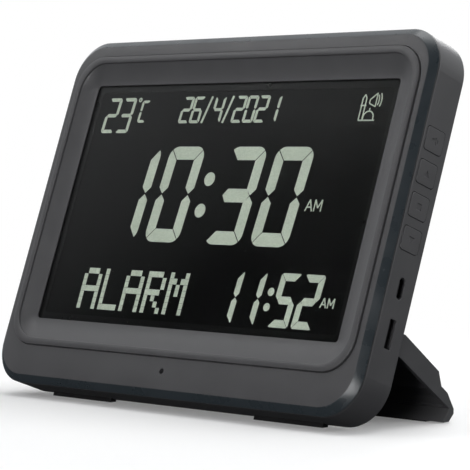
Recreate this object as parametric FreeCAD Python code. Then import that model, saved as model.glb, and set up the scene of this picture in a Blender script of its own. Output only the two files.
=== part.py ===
import FreeCAD, Part
import math
import os

V = FreeCAD.Vector

# A desk clock seen upright: x to the right, y from its face backwards, z up from the middle of the body.
# It is leaned back and stood on the floor at the end. All sizes are millimetres and degrees.

# Body
body_width = 227.8
body_height = 168.0
case_depth = 20.4
body_corner = 18.5
wall = 2.2
lean = 19.87

# Front bezel
chamfer_width = 3.2
chamfer_depth = 2.6
edge_land = 0.2
flat_corner = 16.5
seam_gap = 0.25
seam_round = 0.77
back_round = 1.1
border_side = 3.3
border_top = 5.3
border_bottom = 14.5
rim_height = 1.0
rim_width = 3.2
rim_corner = 15.3
slope_side = 9.2
slope_end = 10.2
slope_bow = 0.18
rim_step = 1.0
slope_steps = 6
window_corner = 1.8
pane_lip = 0.5
land_width = 4.0
rib_width = 1.2
tongue_wall = 1.4
tongue_depth = 2.4
tongue_clearance = 0.15
sensor_hole_radius = 1.3
sensor_drop = 6.4
sensor_leg_radius = 0.3

# Window and display stack
pane_thickness = 1.2
pane_overlap = 2.0
pane_clearance = 0.15
display_gap = 0.3
segment_thickness = 0.15
film_thickness = 0.2
glass_thickness = 1.1
glass_ledge = 3.0
glass_inset = 0.5
diffuser_thickness = 0.3
guide_thickness = 3.0
light_board_width = 1.0
led_width = 1.2
led_height = 2.4
led_length = 3.5
led_count = 8
frame_clearance = 0.2
frame_wall = 1.5
frame_floor = 1.0
tab_length = 8.0
tab_reach = 6.6
tab_thickness = 2.0
tab_spacing = 140.0
ribbon_width = 40.0
ribbon_bend = 2.0
ribbon_reach = 3.6

# Display figures
main_digit_width = 22.6
main_digit_height = 45.4
main_stroke_side = 5.5
main_stroke_level = 6.2
main_pitch = 28.4
main_group_gap = 38.9
main_rise = 4.9
main_shift = -6.0
main_corner = 5.5
dot_radius = 3.2
dot_spread = 7.4
date_digit_width = 6.6
date_digit_height = 12.8
date_stroke = 1.4
date_pitch = 7.1
date_centre = -5.2
degree_digit_width = 8.6
degree_digit_height = 17.4
degree_pitch = 10.0
figure_margin_side = 8.4
figure_margin_top = 5.8
alarm_digit_width = 11.7
alarm_digit_height = 23.9
alarm_stroke_side = 3.1
alarm_stroke_level = 3.4
alarm_pitch = 13.6
alarm_colon_gap = 7.0
alarm_dot_radius = 1.8
alarm_margin_side = 17.2
alarm_margin_bottom = 4.6
figure_slant = 0.063
segment_gap = 0.7
small_segment_gap = 0.4
dot_pitch_x = 2.42
dot_pitch_z = 2.78
dot_gap = 0.14
letter_pitch = 14.3
message_margin_side = 23.6
message_margin_bottom = 6.6
mark_height = 5.2
mark_stroke = 0.55
mark_offset = 3.8
small_mark_share = 0.82
mark_letter_width = 3.9
mark_gap = 1.2
symbol_width = 12.0
symbol_height = 12.2
symbol_stroke = 0.55

# Main board and its parts
board_gap = 1.1
board_thickness = 1.6
board_edge_gap = 3.0
board_left = 72.0
board_top_gap = 32.0
board_bottom_gap = 18.0
board_tongue_width = 16.0
board_tongue_length = 9.0
board_screw_inset = 10.0
post_radius = 3.0
chip_height = 1.1
processor_size = 12.0
pin_count = 10
pin_width = 0.36
pin_length = 0.5
memory_length = 8.0
memory_width = 6.0
amplifier_size = 6.5
crystal_length = 11.0
crystal_width = 4.5
crystal_height = 3.2
capacitor_radius = 3.1
capacitor_height = 5.6
socket_length = 6.0
socket_width = 5.0
socket_height = 3.0

# Side buttons and sockets
button_height = 10.1
button_depth = 11.2
button_corner = 1.5
button_clearance = 0.2
button_proud = 0.25
button_pitch = 14.33
button_bank_top = 42.1
button_rise_from_board = 2.45
button_travel = 0.5
flange_overlap = 0.9
flange_thickness = 1.2
flange_clearance = 0.1
stem_radius = 2.0
stem_length = 1.6
plunger_radius = 1.1
plunger_reach = 1.0
plunger_length = 2.6
plunger_clearance = 0.08
switch_length = 4.0
switch_height = 4.9
switch_width = 6.0
symbol_depth = 0.25
usb_width = 8.9
usb_height = 3.2
usb_length = 7.3
usb_wall = 0.35
usb_roundness = 0.96
usb_recess = 0.4
usb_clearance = 0.2
usb_drop = 68.4
card_slot_width = 12.5
card_slot_height = 3.8
card_socket_width = 14.0
card_socket_height = 1.9
card_socket_length = 10.4
card_mouth_height = 1.0
card_drop = 87.7
card_corner = 0.4

# Rear bulge, speaker and battery
bulge_depth = 14.6
bulge_width = 184.0
bulge_height = 62.0
bulge_top_gap = 14.0
bulge_taper = 3.0
bulge_corner = 12.0
speaker_size = 50.0
speaker_cone_radius = 22.0
speaker_neck_radius = 12.0
speaker_depth = 15.0
magnet_radius = 14.0
magnet_height = 5.5
basket_wall = 1.5
gasket_thickness = 1.0
gasket_radius = 24.0
speaker_side_gap = 20.0
grille_radius = 20.0
grille_pitch = 5.0
grille_hole_radius = 1.3
lead_radius = 0.6
lead_spacing = 2.4
lead_bend = 6.0
door_width = 72.0
door_height = 44.0
door_corner = 3.0
door_thickness = 1.8
door_clearance = 0.25
door_side_gap = 11.0
tray_wall = 1.6
tray_depth = 14.0
tray_ledge = 1.2
battery_width = 66.0
battery_height = 32.0
battery_thickness = 9.6
battery_corner = 2.0
battery_lift = 1.5

# Screws
screw_radius = 1.3
screw_head_radius = 2.6
screw_head_height = 1.8
screw_clearance = 0.2
thread_clearance = 0.03
small_screw_radius = 0.95
small_head_radius = 1.9
small_head_height = 0.9
case_boss_radius = 3.0
case_post_radius = 4.2
case_post_floor = 2.0
case_screw_inset = 16.9
case_screw_middle = 34.0
case_screw_edge_gap = 9.0
boss_meet_depth = 9.0
screw_bite = 4.5
socket_cross = 0.5
socket_blade = 0.3

# Stand and its hinges
stand_width = 222.6
hinge_rise = 39.0
pivot_out = 3.0
barrel_radius = 2.7
ear_radius = 2.6
ear_width = 5.0
knuckle_width = 12.0
hinge_side = 70.0
hinge_gap = 0.3
pin_radius = 1.5
pin_clearance = 0.05
plate_slope = 17.97
plate_run = 26.35
step_run = 5.2
step_drop = 4.0
tread_run = 5.0
nose_run = 7.5
nose_drop = 3.1
nose_round = 1.2
nose_height = 1.75
toe_thickness = 3.8
plate_depth = 9.2
plate_depth_end = 8.6
skin = 2.0
rib_thickness = 1.6
rib_count = 4
foot_proud = 0.5
foot_length = 40.0
foot_depth = 3.0
foot_inset = 10.0


def outline(half_a, half_b, radius, at):
    """A closed rounded rectangle; at(a, b) places a point of it in space."""
    quarter = radius * (1.0 - math.sqrt(0.5))
    a = half_a
    b = half_b
    r = radius
    edges = []
    corners = [(a, b, 1, 1), (a, -b, 1, -1), (-a, -b, -1, -1), (-a, b, -1, 1)]
    starts = []
    for index, (ca, cb, sa, sb) in enumerate(corners):
        side = at(ca, cb - sb * r)
        level = at(ca - sa * r, cb)
        middle = at(ca - sa * quarter, cb - sb * quarter)
        first, last = (level, side) if index % 2 == 0 else (side, level)
        starts.append((first, middle, last))
    for index, (first, middle, last) in enumerate(starts):
        edges.append(Part.Arc(first, middle, last).toShape())
        following = starts[(index + 1) % 4][0]
        if last.distanceToPoint(following) > 1e-6:
            edges.append(Part.LineSegment(last, following).toShape())
    return Part.Wire(edges)


def face_wire(half_w, half_h, radius, y, cx=0.0, cz=0.0):
    """A rounded rectangle parallel to the clock's face."""
    return outline(half_w, half_h, radius, lambda a, b: V(cx + a, y, cz + b))


def slab(half_w, half_h, radius, y0, y1, cx=0.0, cz=0.0):
    """A rounded plate parallel to the face, from depth y0 to y1."""
    return Part.Face(face_wire(half_w, half_h, radius, y0, cx, cz)).extrude(V(0, y1 - y0, 0))


def side_slab(half_y, half_z, radius, x0, x1, cy, cz):
    """A rounded plate parallel to the side wall, from x0 to x1."""
    wire = outline(half_y, half_z, radius, lambda a, b: V(x0, cy + a, cz + b))
    return Part.Face(wire).extrude(V(x1 - x0, 0, 0))


def box(x0, x1, y0, y1, z0, z1):
    """A box between two corners."""
    return Part.makeBox(x1 - x0, y1 - y0, z1 - z0, V(x0, y0, z0))


def rod_y(x, z, radius, y0, y1):
    """A round bar along the depth."""
    return Part.makeCylinder(radius, y1 - y0, V(x, y0, z), V(0, 1, 0))


def rod_x(y, z, radius, x0, x1):
    """A round bar across the clock."""
    return Part.makeCylinder(radius, x1 - x0, V(x0, y, z), V(1, 0, 0))


def joined(shapes):
    """One solid from several that overlap."""
    return shapes[0].multiFuse(shapes[1:]).removeSplitter()


def group(shapes):
    """Separate solids kept together."""
    return Part.makeCompound(shapes)


def edges_at_depth(shape, y):
    """The edges of a shape that lie at one depth."""
    return [e for e in shape.Edges if abs(e.BoundBox.YMin - y) < 1e-4 and abs(e.BoundBox.YMax - y) < 1e-4]


def screw(x, z, seat, direction, length, radius, head_radius, head_height):
    """A pan-head screw whose head sits on depth seat and whose shank points along direction."""
    shank = Part.makeCylinder(radius, length, V(x, seat, z), V(0, direction, 0))
    head = Part.makeCylinder(head_radius, head_height, V(x, seat, z), V(0, -direction, 0))
    recess_start = seat - direction * head_height
    half = head_radius * socket_cross
    slot_y = sorted((recess_start, recess_start + direction * head_height * socket_cross))
    slot = box(x - half, x + half, slot_y[0], slot_y[1], z - radius * socket_blade, z + radius * socket_blade)
    cross = box(x - radius * socket_blade, x + radius * socket_blade, slot_y[0], slot_y[1], z - half, z + half)
    return shank.fuse(head).cut(slot).cut(cross)


# Places that follow from the sizes
half_w = body_width / 2
half_h = body_height / 2
inner_w = half_w - wall
inner_h = half_h - wall
inner_corner = body_corner - wall
bezel_back = chamfer_depth + edge_land
case_front = bezel_back + seam_gap
back_inside = case_depth - wall
flat_half_w = half_w - chamfer_width
flat_half_h = half_h - chamfer_width
rim_half_w = flat_half_w - border_side
rim_top = flat_half_h - border_top
rim_bottom = -flat_half_h + border_bottom
window_rise = (rim_top + rim_bottom) / 2
rim_half_h = (rim_top - rim_bottom) / 2
dish_half_w = rim_half_w - rim_width
dish_half_h = rim_half_h - rim_width
dish_corner = rim_corner - rim_width / 2
window_half_w = dish_half_w - slope_side
window_half_h = dish_half_h - slope_end

pane_front = bezel_back + pane_lip
pane_back = pane_front + pane_thickness
pane_half_w = window_half_w + pane_overlap
pane_half_h = window_half_h + pane_overlap
segment_front = pane_back + display_gap
front_film = segment_front + segment_thickness
front_glass = front_film + film_thickness
rear_glass = front_glass + glass_thickness
rear_film = rear_glass + glass_thickness
diffuser_front = rear_film + film_thickness
guide_front = diffuser_front + diffuser_thickness
reflector_front = guide_front + guide_thickness
frame_inside = reflector_front + film_thickness
frame_back = frame_inside + frame_floor
glass_half_w = pane_half_w - glass_inset
glass_half_h = pane_half_h - glass_inset
frame_in_w = glass_half_w + frame_clearance
frame_in_h = glass_half_h + frame_clearance
frame_out_w = frame_in_w + frame_wall
frame_out_h = frame_in_h + frame_wall
tab_z = [window_rise + s * (frame_out_h + tab_reach / 2) for s in (-1, 1)]
tab_x = [s * tab_spacing / 2 for s in (-1, 1)]
tab_front = frame_back - tab_thickness

board_front = frame_back + board_gap
board_back = board_front + board_thickness
board_right = inner_w - board_edge_gap
board_top = half_h - board_top_gap
board_bottom = -half_h + board_bottom_gap
board_screws = [
    (-board_left + board_screw_inset, board_bottom + board_screw_inset),
    (-board_left + board_screw_inset, board_bottom + board_screw_inset * 6),
    (board_right - board_screw_inset, board_bottom + board_screw_inset * 0.6),
    (board_right - board_screw_inset, board_top - board_screw_inset * 0.5),
]

button_y = board_front - button_rise_from_board
button_zs = [button_bank_top - button_height / 2 - i * button_pitch for i in range(4)]
flange_outer = inner_w - flange_clearance
flange_inner = flange_outer - flange_thickness
stem_end = flange_inner - stem_length
switch_face = stem_end - plunger_reach
usb_z = button_bank_top - usb_drop
card_z = button_bank_top - card_drop
usb_y = board_front - usb_height / 2
card_y = board_front - card_socket_height / 2
card_slot_y = board_front - card_slot_height / 2 + card_mouth_height / 2

bulge_back = case_depth + bulge_depth
bulge_inside = bulge_back - wall
bulge_z = half_h - bulge_top_gap - bulge_height / 2
speaker_x = -(bulge_width / 2 - speaker_side_gap - speaker_size / 2)
speaker_seat = bulge_inside - gasket_thickness
speaker_corner = speaker_size / 2 - small_head_radius - basket_wall
door_x = bulge_width / 2 - door_side_gap - door_width / 2
door_front = bulge_back - door_thickness
tray_floor = bulge_back - tray_depth
tray_in_w = door_width / 2
tray_in_h = door_height / 2
door_boss_z = bulge_z + tray_in_h - screw_head_radius - tray_ledge
bay_x = (speaker_x + speaker_size / 2 + door_x - tray_in_w - tray_wall) / 2

case_screw_zs = [-half_h + case_screw_edge_gap, half_h - case_screw_edge_gap]
case_screw_outer = half_w - case_screw_inset
case_screw_xs = [-case_screw_outer, -case_screw_middle, case_screw_middle, case_screw_outer]
case_screw_places = [(x, z) for x in case_screw_xs for z in case_screw_zs]
case_seat = boss_meet_depth + case_post_floor

pivot_y = case_depth + pivot_out
pivot_z = -half_h + hinge_rise
lean_cos = math.cos(math.radians(lean))
lean_sin = math.sin(math.radians(lean))
floor_level = -half_h * lean_cos - case_depth * lean_sin - foot_proud


def height(y, z):
    """How far a point of the upright clock stands above the floor once leaned."""
    return z * lean_cos - y * lean_sin - floor_level


def below_floor():
    """Everything under the floor, in the upright clock's place."""
    reach = body_width
    under = Part.makeBox(2 * reach, 2 * reach, reach, V(-reach, -reach, floor_level - reach))
    under.rotate(V(0, 0, 0), V(1, 0, 0), lean)
    return under


def dish_section(step, y_shift=0.0):
    """One outline of the hollow slope between the rim and the window."""
    t = step / slope_steps
    inset_w = slope_side * t
    inset_h = slope_end * t
    drop = t + slope_bow * 4 * t * (1 - t)
    start = rim_step - rim_height
    y = start + (bezel_back - start) * drop + y_shift
    corner = dish_corner + (window_corner - dish_corner) * t
    return face_wire(dish_half_w - inset_w, dish_half_h - inset_h, corner, y, 0, window_rise)


def make_front_bezel():
    """Chamfered front frame with its raised rim and the hollow slope down to the window."""
    front = face_wire(flat_half_w, flat_half_h, flat_corner, 0)
    outer = face_wire(half_w, half_h, body_corner, chamfer_depth)
    chamfered = Part.makeLoft([front, outer], True, True)
    land = slab(half_w, half_h, body_corner, chamfer_depth, bezel_back)
    rim = slab(rim_half_w, rim_half_h, rim_corner, -rim_height, bezel_back / 2, 0, window_rise)
    pane_land = slab(window_half_w + land_width, window_half_h + land_width, window_corner, bezel_back,
                     pane_front, 0, window_rise)
    rib_in_w = pane_half_w + pane_clearance
    rib_in_h = pane_half_h + pane_clearance
    rib = slab(rib_in_w + rib_width, rib_in_h + rib_width, window_corner + rib_width, pane_front,
               pane_back - pane_clearance, 0, window_rise)
    rib = rib.cut(slab(rib_in_w, rib_in_h, window_corner, pane_front, pane_back, 0, window_rise))
    tongue_out = wall + tongue_clearance
    tongue = slab(half_w - tongue_out, half_h - tongue_out, body_corner - tongue_out, bezel_back,
                  bezel_back + tongue_depth)
    tongue_in = tongue_out + tongue_wall
    tongue = tongue.cut(slab(half_w - tongue_in, half_h - tongue_in, body_corner - tongue_in, bezel_back,
                             bezel_back + tongue_depth))
    bank_low = button_zs[-1] - button_height
    bank_high = button_zs[0] + button_height
    tongue = tongue.cut(box(half_w - 2 * tongue_in, half_w, bezel_back, case_depth, bank_low, bank_high))
    bosses = [rod_y(x, z, case_boss_radius, bezel_back / 2, boss_meet_depth) for x, z in case_screw_places]
    bosses += [rod_y(x, z, small_head_radius + frame_clearance, bezel_back / 2, tab_front)
               for x in tab_x for z in tab_z]
    sensor_z = -half_h + border_bottom + chamfer_width - sensor_drop
    collar = rod_y(0, sensor_z, sensor_hole_radius * 3, bezel_back / 2, bezel_back + tongue_depth)
    shape = joined([chamfered, land, rim, pane_land, rib, tongue, collar] + bosses)
    sections = [dish_section(0, -2 * rim_step - rim_height)] + [dish_section(i) for i in range(slope_steps + 1)]
    sections.append(dish_section(slope_steps, pane_lip + rim_height))
    shape = shape.cut(Part.makeLoft(sections, True, True))
    for x, z in case_screw_places:
        shape = shape.cut(rod_y(x, z, screw_radius + thread_clearance, boss_meet_depth - screw_bite,
                                boss_meet_depth))
    for x in tab_x:
        for z in tab_z:
            shape = shape.cut(rod_y(x, z, small_screw_radius + thread_clearance, tab_front - screw_bite,
                                    tab_front))
    shape = shape.cut(rod_y(0, sensor_z, sensor_hole_radius, -rim_height, bezel_back))
    shape = shape.cut(rod_y(0, sensor_z, sensor_hole_radius * 2, bezel_back, bezel_back + tongue_depth))
    return shape


def bulge_solid(inset, y0, y1):
    """The tapered rear bulge, drawn in all round by inset."""
    def section(y):
        draw = inset + bulge_taper * (y - case_depth) / bulge_depth
        return face_wire(bulge_width / 2 - draw, bulge_height / 2 - draw, bulge_corner - inset, y, 0, bulge_z)
    return Part.makeLoft([section(y0), section(y1)], True, True)


def make_rear_housing():
    """Tub with the side walls and back, its bulge, battery tray, posts, hinge ears and side openings."""
    shell = slab(half_w, half_h, body_corner, case_front, case_depth)
    shell = shell.makeFillet(seam_round, edges_at_depth(shell, case_front))
    shell = shell.makeFillet(back_round, edges_at_depth(shell, case_depth))
    shell = shell.fuse(bulge_solid(0, case_depth - wall / 2, bulge_back))
    shell = shell.cut(slab(inner_w, inner_h, inner_corner, 0, back_inside))
    shell = shell.cut(bulge_solid(wall, back_inside - wall, bulge_inside))
    parts = [shell]
    for x, z in case_screw_places:
        post = rod_y(x, z, case_post_radius, boss_meet_depth, back_inside + wall / 2)
        if abs(z - bulge_z) < bulge_height / 2 and abs(x) < bulge_width / 2:
            post = rod_y(x, z, case_post_radius, boss_meet_depth, bulge_inside + wall / 2)
        parts.append(post.common(slab(half_w - wall / 2, half_h - wall / 2, inner_corner, 0, bulge_back)))
    for x, z in board_screws:
        parts.append(rod_y(x, z, post_radius, board_back, back_inside + wall / 2))
    tray = box(door_x - tray_in_w - tray_wall, door_x + tray_in_w + tray_wall, tray_floor - tray_wall,
               bulge_inside + wall / 2, bulge_z - tray_in_h - tray_wall, bulge_z + tray_in_h + tray_wall)
    parts.append(tray)
    for sx in (-1, 1):
        for sz in (-1, 1):
            parts.append(rod_y(speaker_x + sx * speaker_corner, bulge_z + sz * speaker_corner,
                               small_head_radius, speaker_seat, bulge_inside + wall / 2))
    for side in (-hinge_side, hinge_side):
        for ear_side in (-1, 1):
            ear_x = side + ear_side * (knuckle_width / 2 + hinge_gap + ear_width / 2)
            x0 = ear_x - ear_width / 2
            x1 = ear_x + ear_width / 2
            ear = rod_x(pivot_y, pivot_z, ear_radius, x0, x1)
            root = box(x0, x1, case_depth - wall / 2, pivot_y, pivot_z - ear_radius, pivot_z + ear_radius)
            parts += [ear, root]
    shape = joined(parts)
    shape = shape.cut(slab(tray_in_w - tray_ledge, tray_in_h - tray_ledge, door_corner, tray_floor,
                           bulge_back, door_x, bulge_z))
    shape = shape.cut(slab(tray_in_w, tray_in_h, door_corner, door_front, bulge_back, door_x, bulge_z))
    boss = rod_y(door_x, door_boss_z, screw_head_radius, tray_floor - tray_wall / 2, door_front)
    web = box(door_x - screw_radius, door_x + screw_radius, tray_floor - tray_wall / 2, door_front, door_boss_z,
              bulge_z + tray_in_h - tray_ledge / 2)
    shape = shape.fuse([boss, web])
    shape = shape.cut(rod_y(door_x, door_boss_z, screw_radius + thread_clearance, door_front - 2 * screw_bite,
                            door_front))
    cuts = []
    for x, z in case_screw_places:
        cuts.append(rod_y(x, z, screw_head_radius + screw_clearance, case_seat, bulge_back))
        cuts.append(rod_y(x, z, screw_radius + screw_clearance, boss_meet_depth, case_seat))
    for x, z in board_screws:
        cuts.append(rod_y(x, z, small_screw_radius + thread_clearance, board_back, back_inside))
    for sx in (-1, 1):
        for sz in (-1, 1):
            cuts.append(rod_y(speaker_x + sx * speaker_corner, bulge_z + sz * speaker_corner,
                              small_screw_radius + thread_clearance, speaker_seat,
                              bulge_inside + wall / 2))
    for side in (-hinge_side, hinge_side):
        reach = knuckle_width / 2 + hinge_gap + ear_width
        cuts.append(rod_x(pivot_y, pivot_z, pin_radius + pin_clearance, side - reach, side + reach))
    rows = int(grille_radius / grille_pitch) + 1
    for row in range(-rows, rows + 1):
        for column in range(-rows, rows + 1):
            hx = (column + 0.5 * (row % 2)) * grille_pitch
            hz = row * grille_pitch * math.sqrt(0.75)
            if math.hypot(hx, hz) <= grille_radius:
                cuts.append(rod_y(speaker_x + hx, bulge_z + hz, grille_hole_radius, bulge_inside, bulge_back))
    for z in button_zs:
        cuts.append(side_slab(button_depth / 2 + button_clearance, button_height / 2 + button_clearance,
                              button_corner, inner_w - wall / 2, half_w, button_y, z))
    mouth_z = usb_width / 2 + usb_clearance
    mouth_y = usb_height / 2 + usb_clearance
    cuts.append(side_slab(mouth_y, mouth_z, mouth_y * usb_roundness, inner_w - wall / 2, half_w, usb_y, usb_z))
    cuts.append(side_slab(card_slot_height / 2, card_slot_width / 2, card_corner, inner_w - wall / 2,
                          half_w, card_slot_y, card_z))
    for z in (-lead_spacing / 2, lead_spacing / 2):
        cuts.append(rod_x(battery_lead_y, bulge_z + z, lead_radius + screw_clearance,
                          door_x - tray_in_w - 2 * tray_wall, door_x - tray_in_w + 2 * tray_ledge))
    return shape.cut(group(cuts))


battery_front = tray_floor
battery_back = battery_front + battery_thickness
battery_lead_y = battery_front + battery_thickness / 2


def make_display_window():
    """Clear pane bonded behind the bezel's opening."""
    return slab(pane_half_w, pane_half_h, window_corner, pane_front, pane_back, 0, window_rise)


def make_glass(y, short):
    """One glass of the display; the front one stops short of the lower contact ledge."""
    z0 = window_rise - glass_half_h + short
    return box(-glass_half_w, glass_half_w, y, y + glass_thickness, z0, window_rise + glass_half_h)


def make_film(y, thickness, short):
    """A thin sheet over the display, its lower edge level with the front glass."""
    z0 = window_rise - glass_half_h + short
    return box(-glass_half_w, glass_half_w, y, y + thickness, z0, window_rise + glass_half_h)


def make_light_guide():
    """Clear block behind the glass, short on the right for the lamps."""
    right = glass_half_w - light_board_width - led_width - dot_gap
    return box(-glass_half_w, right, guide_front, reflector_front, window_rise - glass_half_h,
               window_rise + glass_half_h)


def make_backlight_strip():
    """Narrow lamp board standing at the right end of the light guide."""
    return box(glass_half_w - light_board_width, glass_half_w, guide_front, reflector_front,
               window_rise - glass_half_h * 0.9, window_rise + glass_half_h * 0.9)


def make_backlight_leds():
    """White lamps along the strip, facing the light guide."""
    lamps = []
    centre_y = (guide_front + reflector_front) / 2
    span = glass_half_h * 1.6
    x1 = glass_half_w - light_board_width
    for i in range(led_count):
        z = window_rise - span / 2 + span * i / (led_count - 1)
        lamps.append(box(x1 - led_width, x1, centre_y - led_height / 2, centre_y + led_height / 2,
                         z - led_length / 2, z + led_length / 2))
    return group(lamps)


def make_lcd_frame():
    """Tray round the display, with four screw tabs and a notch for the ribbon."""
    outer = slab(frame_out_w, frame_out_h, frame_wall, pane_back, frame_back, 0, window_rise)
    parts = [outer]
    for x in tab_x:
        for z in tab_z:
            parts.append(box(x - tab_length / 2, x + tab_length / 2, tab_front, frame_back,
                             z - tab_reach / 2 - frame_wall / 2, z + tab_reach / 2 + frame_wall / 2)
                         .common(box(x - tab_length, x + tab_length, tab_front, frame_back,
                                     tab_z[0] - tab_reach / 2, tab_z[1] + tab_reach / 2)))
    shape = joined(parts)
    shape = shape.cut(box(-frame_in_w, frame_in_w, pane_back, frame_inside, window_rise - frame_in_h,
                          window_rise + frame_in_h))
    notch = ribbon_width / 2 + frame_clearance
    shape = shape.cut(box(-notch, notch, pane_back, rear_glass + frame_clearance,
                          window_rise - frame_out_h, window_rise))
    for x in tab_x:
        for z in tab_z:
            shape = shape.cut(rod_y(x, z, small_screw_radius + screw_clearance, tab_front, frame_back))
    return shape


def make_frame_screws():
    """Four small screws through the tray's tabs."""
    return group([screw(x, z, frame_back, -1, tab_thickness + screw_bite * 0.8, small_screw_radius,
                        small_head_radius, small_head_height) for x in tab_x for z in tab_z])


def make_display_ribbon():
    """Flat ribbon from the glass ledge round to the board."""
    y0 = rear_glass - film_thickness
    z_top = window_rise - glass_half_h + glass_ledge - frame_clearance
    z_low = window_rise - frame_out_h - ribbon_reach
    r = ribbon_bend
    t = film_thickness
    s = math.sqrt(0.5)
    outer_c = V(0, y0 + r, z_low + r)

    def arc(radius):
        return Part.Arc(V(0, outer_c.y - radius, outer_c.z), V(0, outer_c.y - radius * s, outer_c.z - radius * s),
                        V(0, outer_c.y, outer_c.z - radius)).toShape()
    outer = [V(0, y0, z_top), V(0, y0, z_low + r)]
    far = [V(0, outer_c.y, z_low), V(0, board_front, z_low)]
    back = [V(0, board_front, z_low + t), V(0, outer_c.y, z_low + t)]
    rise = [V(0, y0 + t, z_low + r), V(0, y0 + t, z_top)]
    edges = [Part.LineSegment(outer[0], outer[1]).toShape(), arc(r),
             Part.LineSegment(far[0], far[1]).toShape(), Part.LineSegment(far[1], back[0]).toShape(),
             Part.LineSegment(back[0], back[1]).toShape(), arc(r - t),
             Part.LineSegment(rise[0], rise[1]).toShape(), Part.LineSegment(rise[1], outer[0]).toShape()]
    face = Part.Face(Part.Wire(edges))
    shape = face.extrude(V(ribbon_width, 0, 0))
    shape.translate(V(-ribbon_width / 2, 0, 0))
    return shape


def prism(points):
    """A thin inlay of the display from its corner points."""
    corners = [V(x, segment_front, z) for x, z in points]
    return Part.Face(Part.makePolygon(corners + [corners[0]])).extrude(V(0, segment_thickness, 0))


def strip(x0, z0, x1, z1, width):
    """A straight stroke of the display."""
    length = math.hypot(x1 - x0, z1 - z0)
    nx = -(z1 - z0) / length * width / 2
    nz = (x1 - x0) / length * width / 2
    return prism([(x0 + nx, z0 + nz), (x1 + nx, z1 + nz), (x1 - nx, z1 - nz), (x0 - nx, z0 - nz)])


def arc_strip(cx, cz, radius, start, end, width):
    """A curved stroke of the display, its angles in degrees from the right, upward."""
    def spot(r, angle):
        a = math.radians(angle)
        return V(cx + r * math.cos(a), segment_front, cz + r * math.sin(a))
    far = radius + width / 2
    near = radius - width / 2
    mid = (start + end) / 2
    edges = [Part.Arc(spot(far, start), spot(far, mid), spot(far, end)).toShape(),
             Part.LineSegment(spot(far, end), spot(near, end)).toShape(),
             Part.Arc(spot(near, end), spot(near, mid), spot(near, start)).toShape(),
             Part.LineSegment(spot(near, start), spot(far, start)).toShape()]
    return Part.Face(Part.Wire(edges)).extrude(V(0, segment_thickness, 0))


LIT = {"0": "abcdef", "1": "bc", "2": "abged", "3": "abgcd", "4": "fgbc", "5": "afgcd", "6": "afgedc",
       "8": "abcdefg", "C": "afed"}


def digit(character, cx, cz, width, tall, side, level, corner, gap=small_segment_gap):
    """The lit strokes of one seven-stroke figure, slanted about its middle."""
    a = width / 2
    b = tall / 2
    g = gap / 2
    s = side
    v = level
    tip = side / 2

    def lean_point(x, z):
        return (cx + x + z * figure_slant, cz + z)
    upper_right = [(a, b - g), (a, v / 2), (a - tip, g), (a - s, v / 2), (a - s, b - v - g)]
    top = [(-a + g, b), (a - g, b), (a - s - g, b - v), (-a + s + g, b - v)]
    middle = [(-a + tip + g, 0), (-a + s, v / 2), (a - s, v / 2), (a - tip - g, 0), (a - s, -v / 2),
              (-a + s, -v / 2)]
    polygons = {
        "a": top,
        "b": upper_right,
        "c": [(x, -z) for x, z in upper_right],
        "d": [(x, -z) for x, z in top],
        "e": [(-x, -z) for x, z in upper_right],
        "f": [(-x, z) for x, z in upper_right],
        "g": middle,
    }

    def at(x, z):
        px, pz = lean_point(x, z)
        return V(px, segment_front, pz)
    limit = Part.Face(outline(a, b, corner, at)).extrude(V(0, segment_thickness, 0))
    return [prism([lean_point(x, z) for x, z in polygons[name]]).common(limit) for name in LIT[character]]


def dot(cx, cz, radius):
    """A round dot of the display."""
    return rod_y(cx, cz, radius, segment_front, front_film)


def make_main_time_segments():
    """The large hours and minutes with their colon."""
    cz = window_rise + main_rise
    middle = main_shift
    near = main_group_gap / 2
    centres = [middle - near - main_pitch, middle - near, middle + near, middle + near + main_pitch]
    pieces = []
    for character, cx in zip("1030", centres):
        pieces += digit(character, cx, cz, main_digit_width, main_digit_height, main_stroke_side,
                        main_stroke_level, main_corner, segment_gap)
    for sign in (-1, 1):
        pieces.append(dot(middle + sign * dot_spread * figure_slant, cz + sign * dot_spread, dot_radius))
    return group(pieces)


top_row_z = window_rise + window_half_h - figure_margin_top
bottom_row_z = window_rise - window_half_h + alarm_margin_bottom


def make_date_segments():
    """Day, month and year with slashes between them."""
    cz = top_row_z - date_digit_height / 2
    x = date_centre - 3.8 * date_pitch
    pieces = []
    for character in "26/4/2021":
        if character == "/":
            lean_x = date_digit_height * 0.13
            pieces.append(strip(x - date_pitch * 0.1 - lean_x, cz - date_digit_height / 2,
                                x - date_pitch * 0.1 + lean_x, cz + date_digit_height / 2, date_stroke * 0.8))
            x += date_pitch * 0.9
        else:
            pieces += digit(character, x, cz, date_digit_width, date_digit_height, date_stroke, date_stroke,
                            date_stroke)
            x += date_pitch
    return group(pieces)


def make_temperature_segments():
    """Two figures, the degree ring and the letter for Celsius."""
    left = -window_half_w + figure_margin_side
    cz = top_row_z - degree_digit_height / 2
    stroke = date_stroke * 1.2
    pieces = []
    for index, character in enumerate("23"):
        pieces += digit(character, left + degree_digit_width / 2 + index * degree_pitch, cz,
                        degree_digit_width, degree_digit_height, stroke, stroke, stroke)
    ring_x = left + 2 * degree_pitch + dot_radius / 2
    ring_z = top_row_z - dot_radius / 3
    ring = rod_y(ring_x, ring_z, dot_radius / 3, segment_front, front_film)
    pieces.append(ring.cut(rod_y(ring_x, ring_z, dot_radius / 7, segment_front, front_film)))
    letter_tall = date_digit_height * 0.85
    pieces += digit("C", ring_x + date_digit_width * 0.65, top_row_z - date_stroke - letter_tall / 2,
                    date_digit_width * 0.8, letter_tall, date_stroke * 0.9, date_stroke * 0.9, date_stroke)
    return group(pieces)


alarm_right = window_half_w - alarm_margin_side
alarm_z = bottom_row_z + alarm_digit_height / 2


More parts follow.
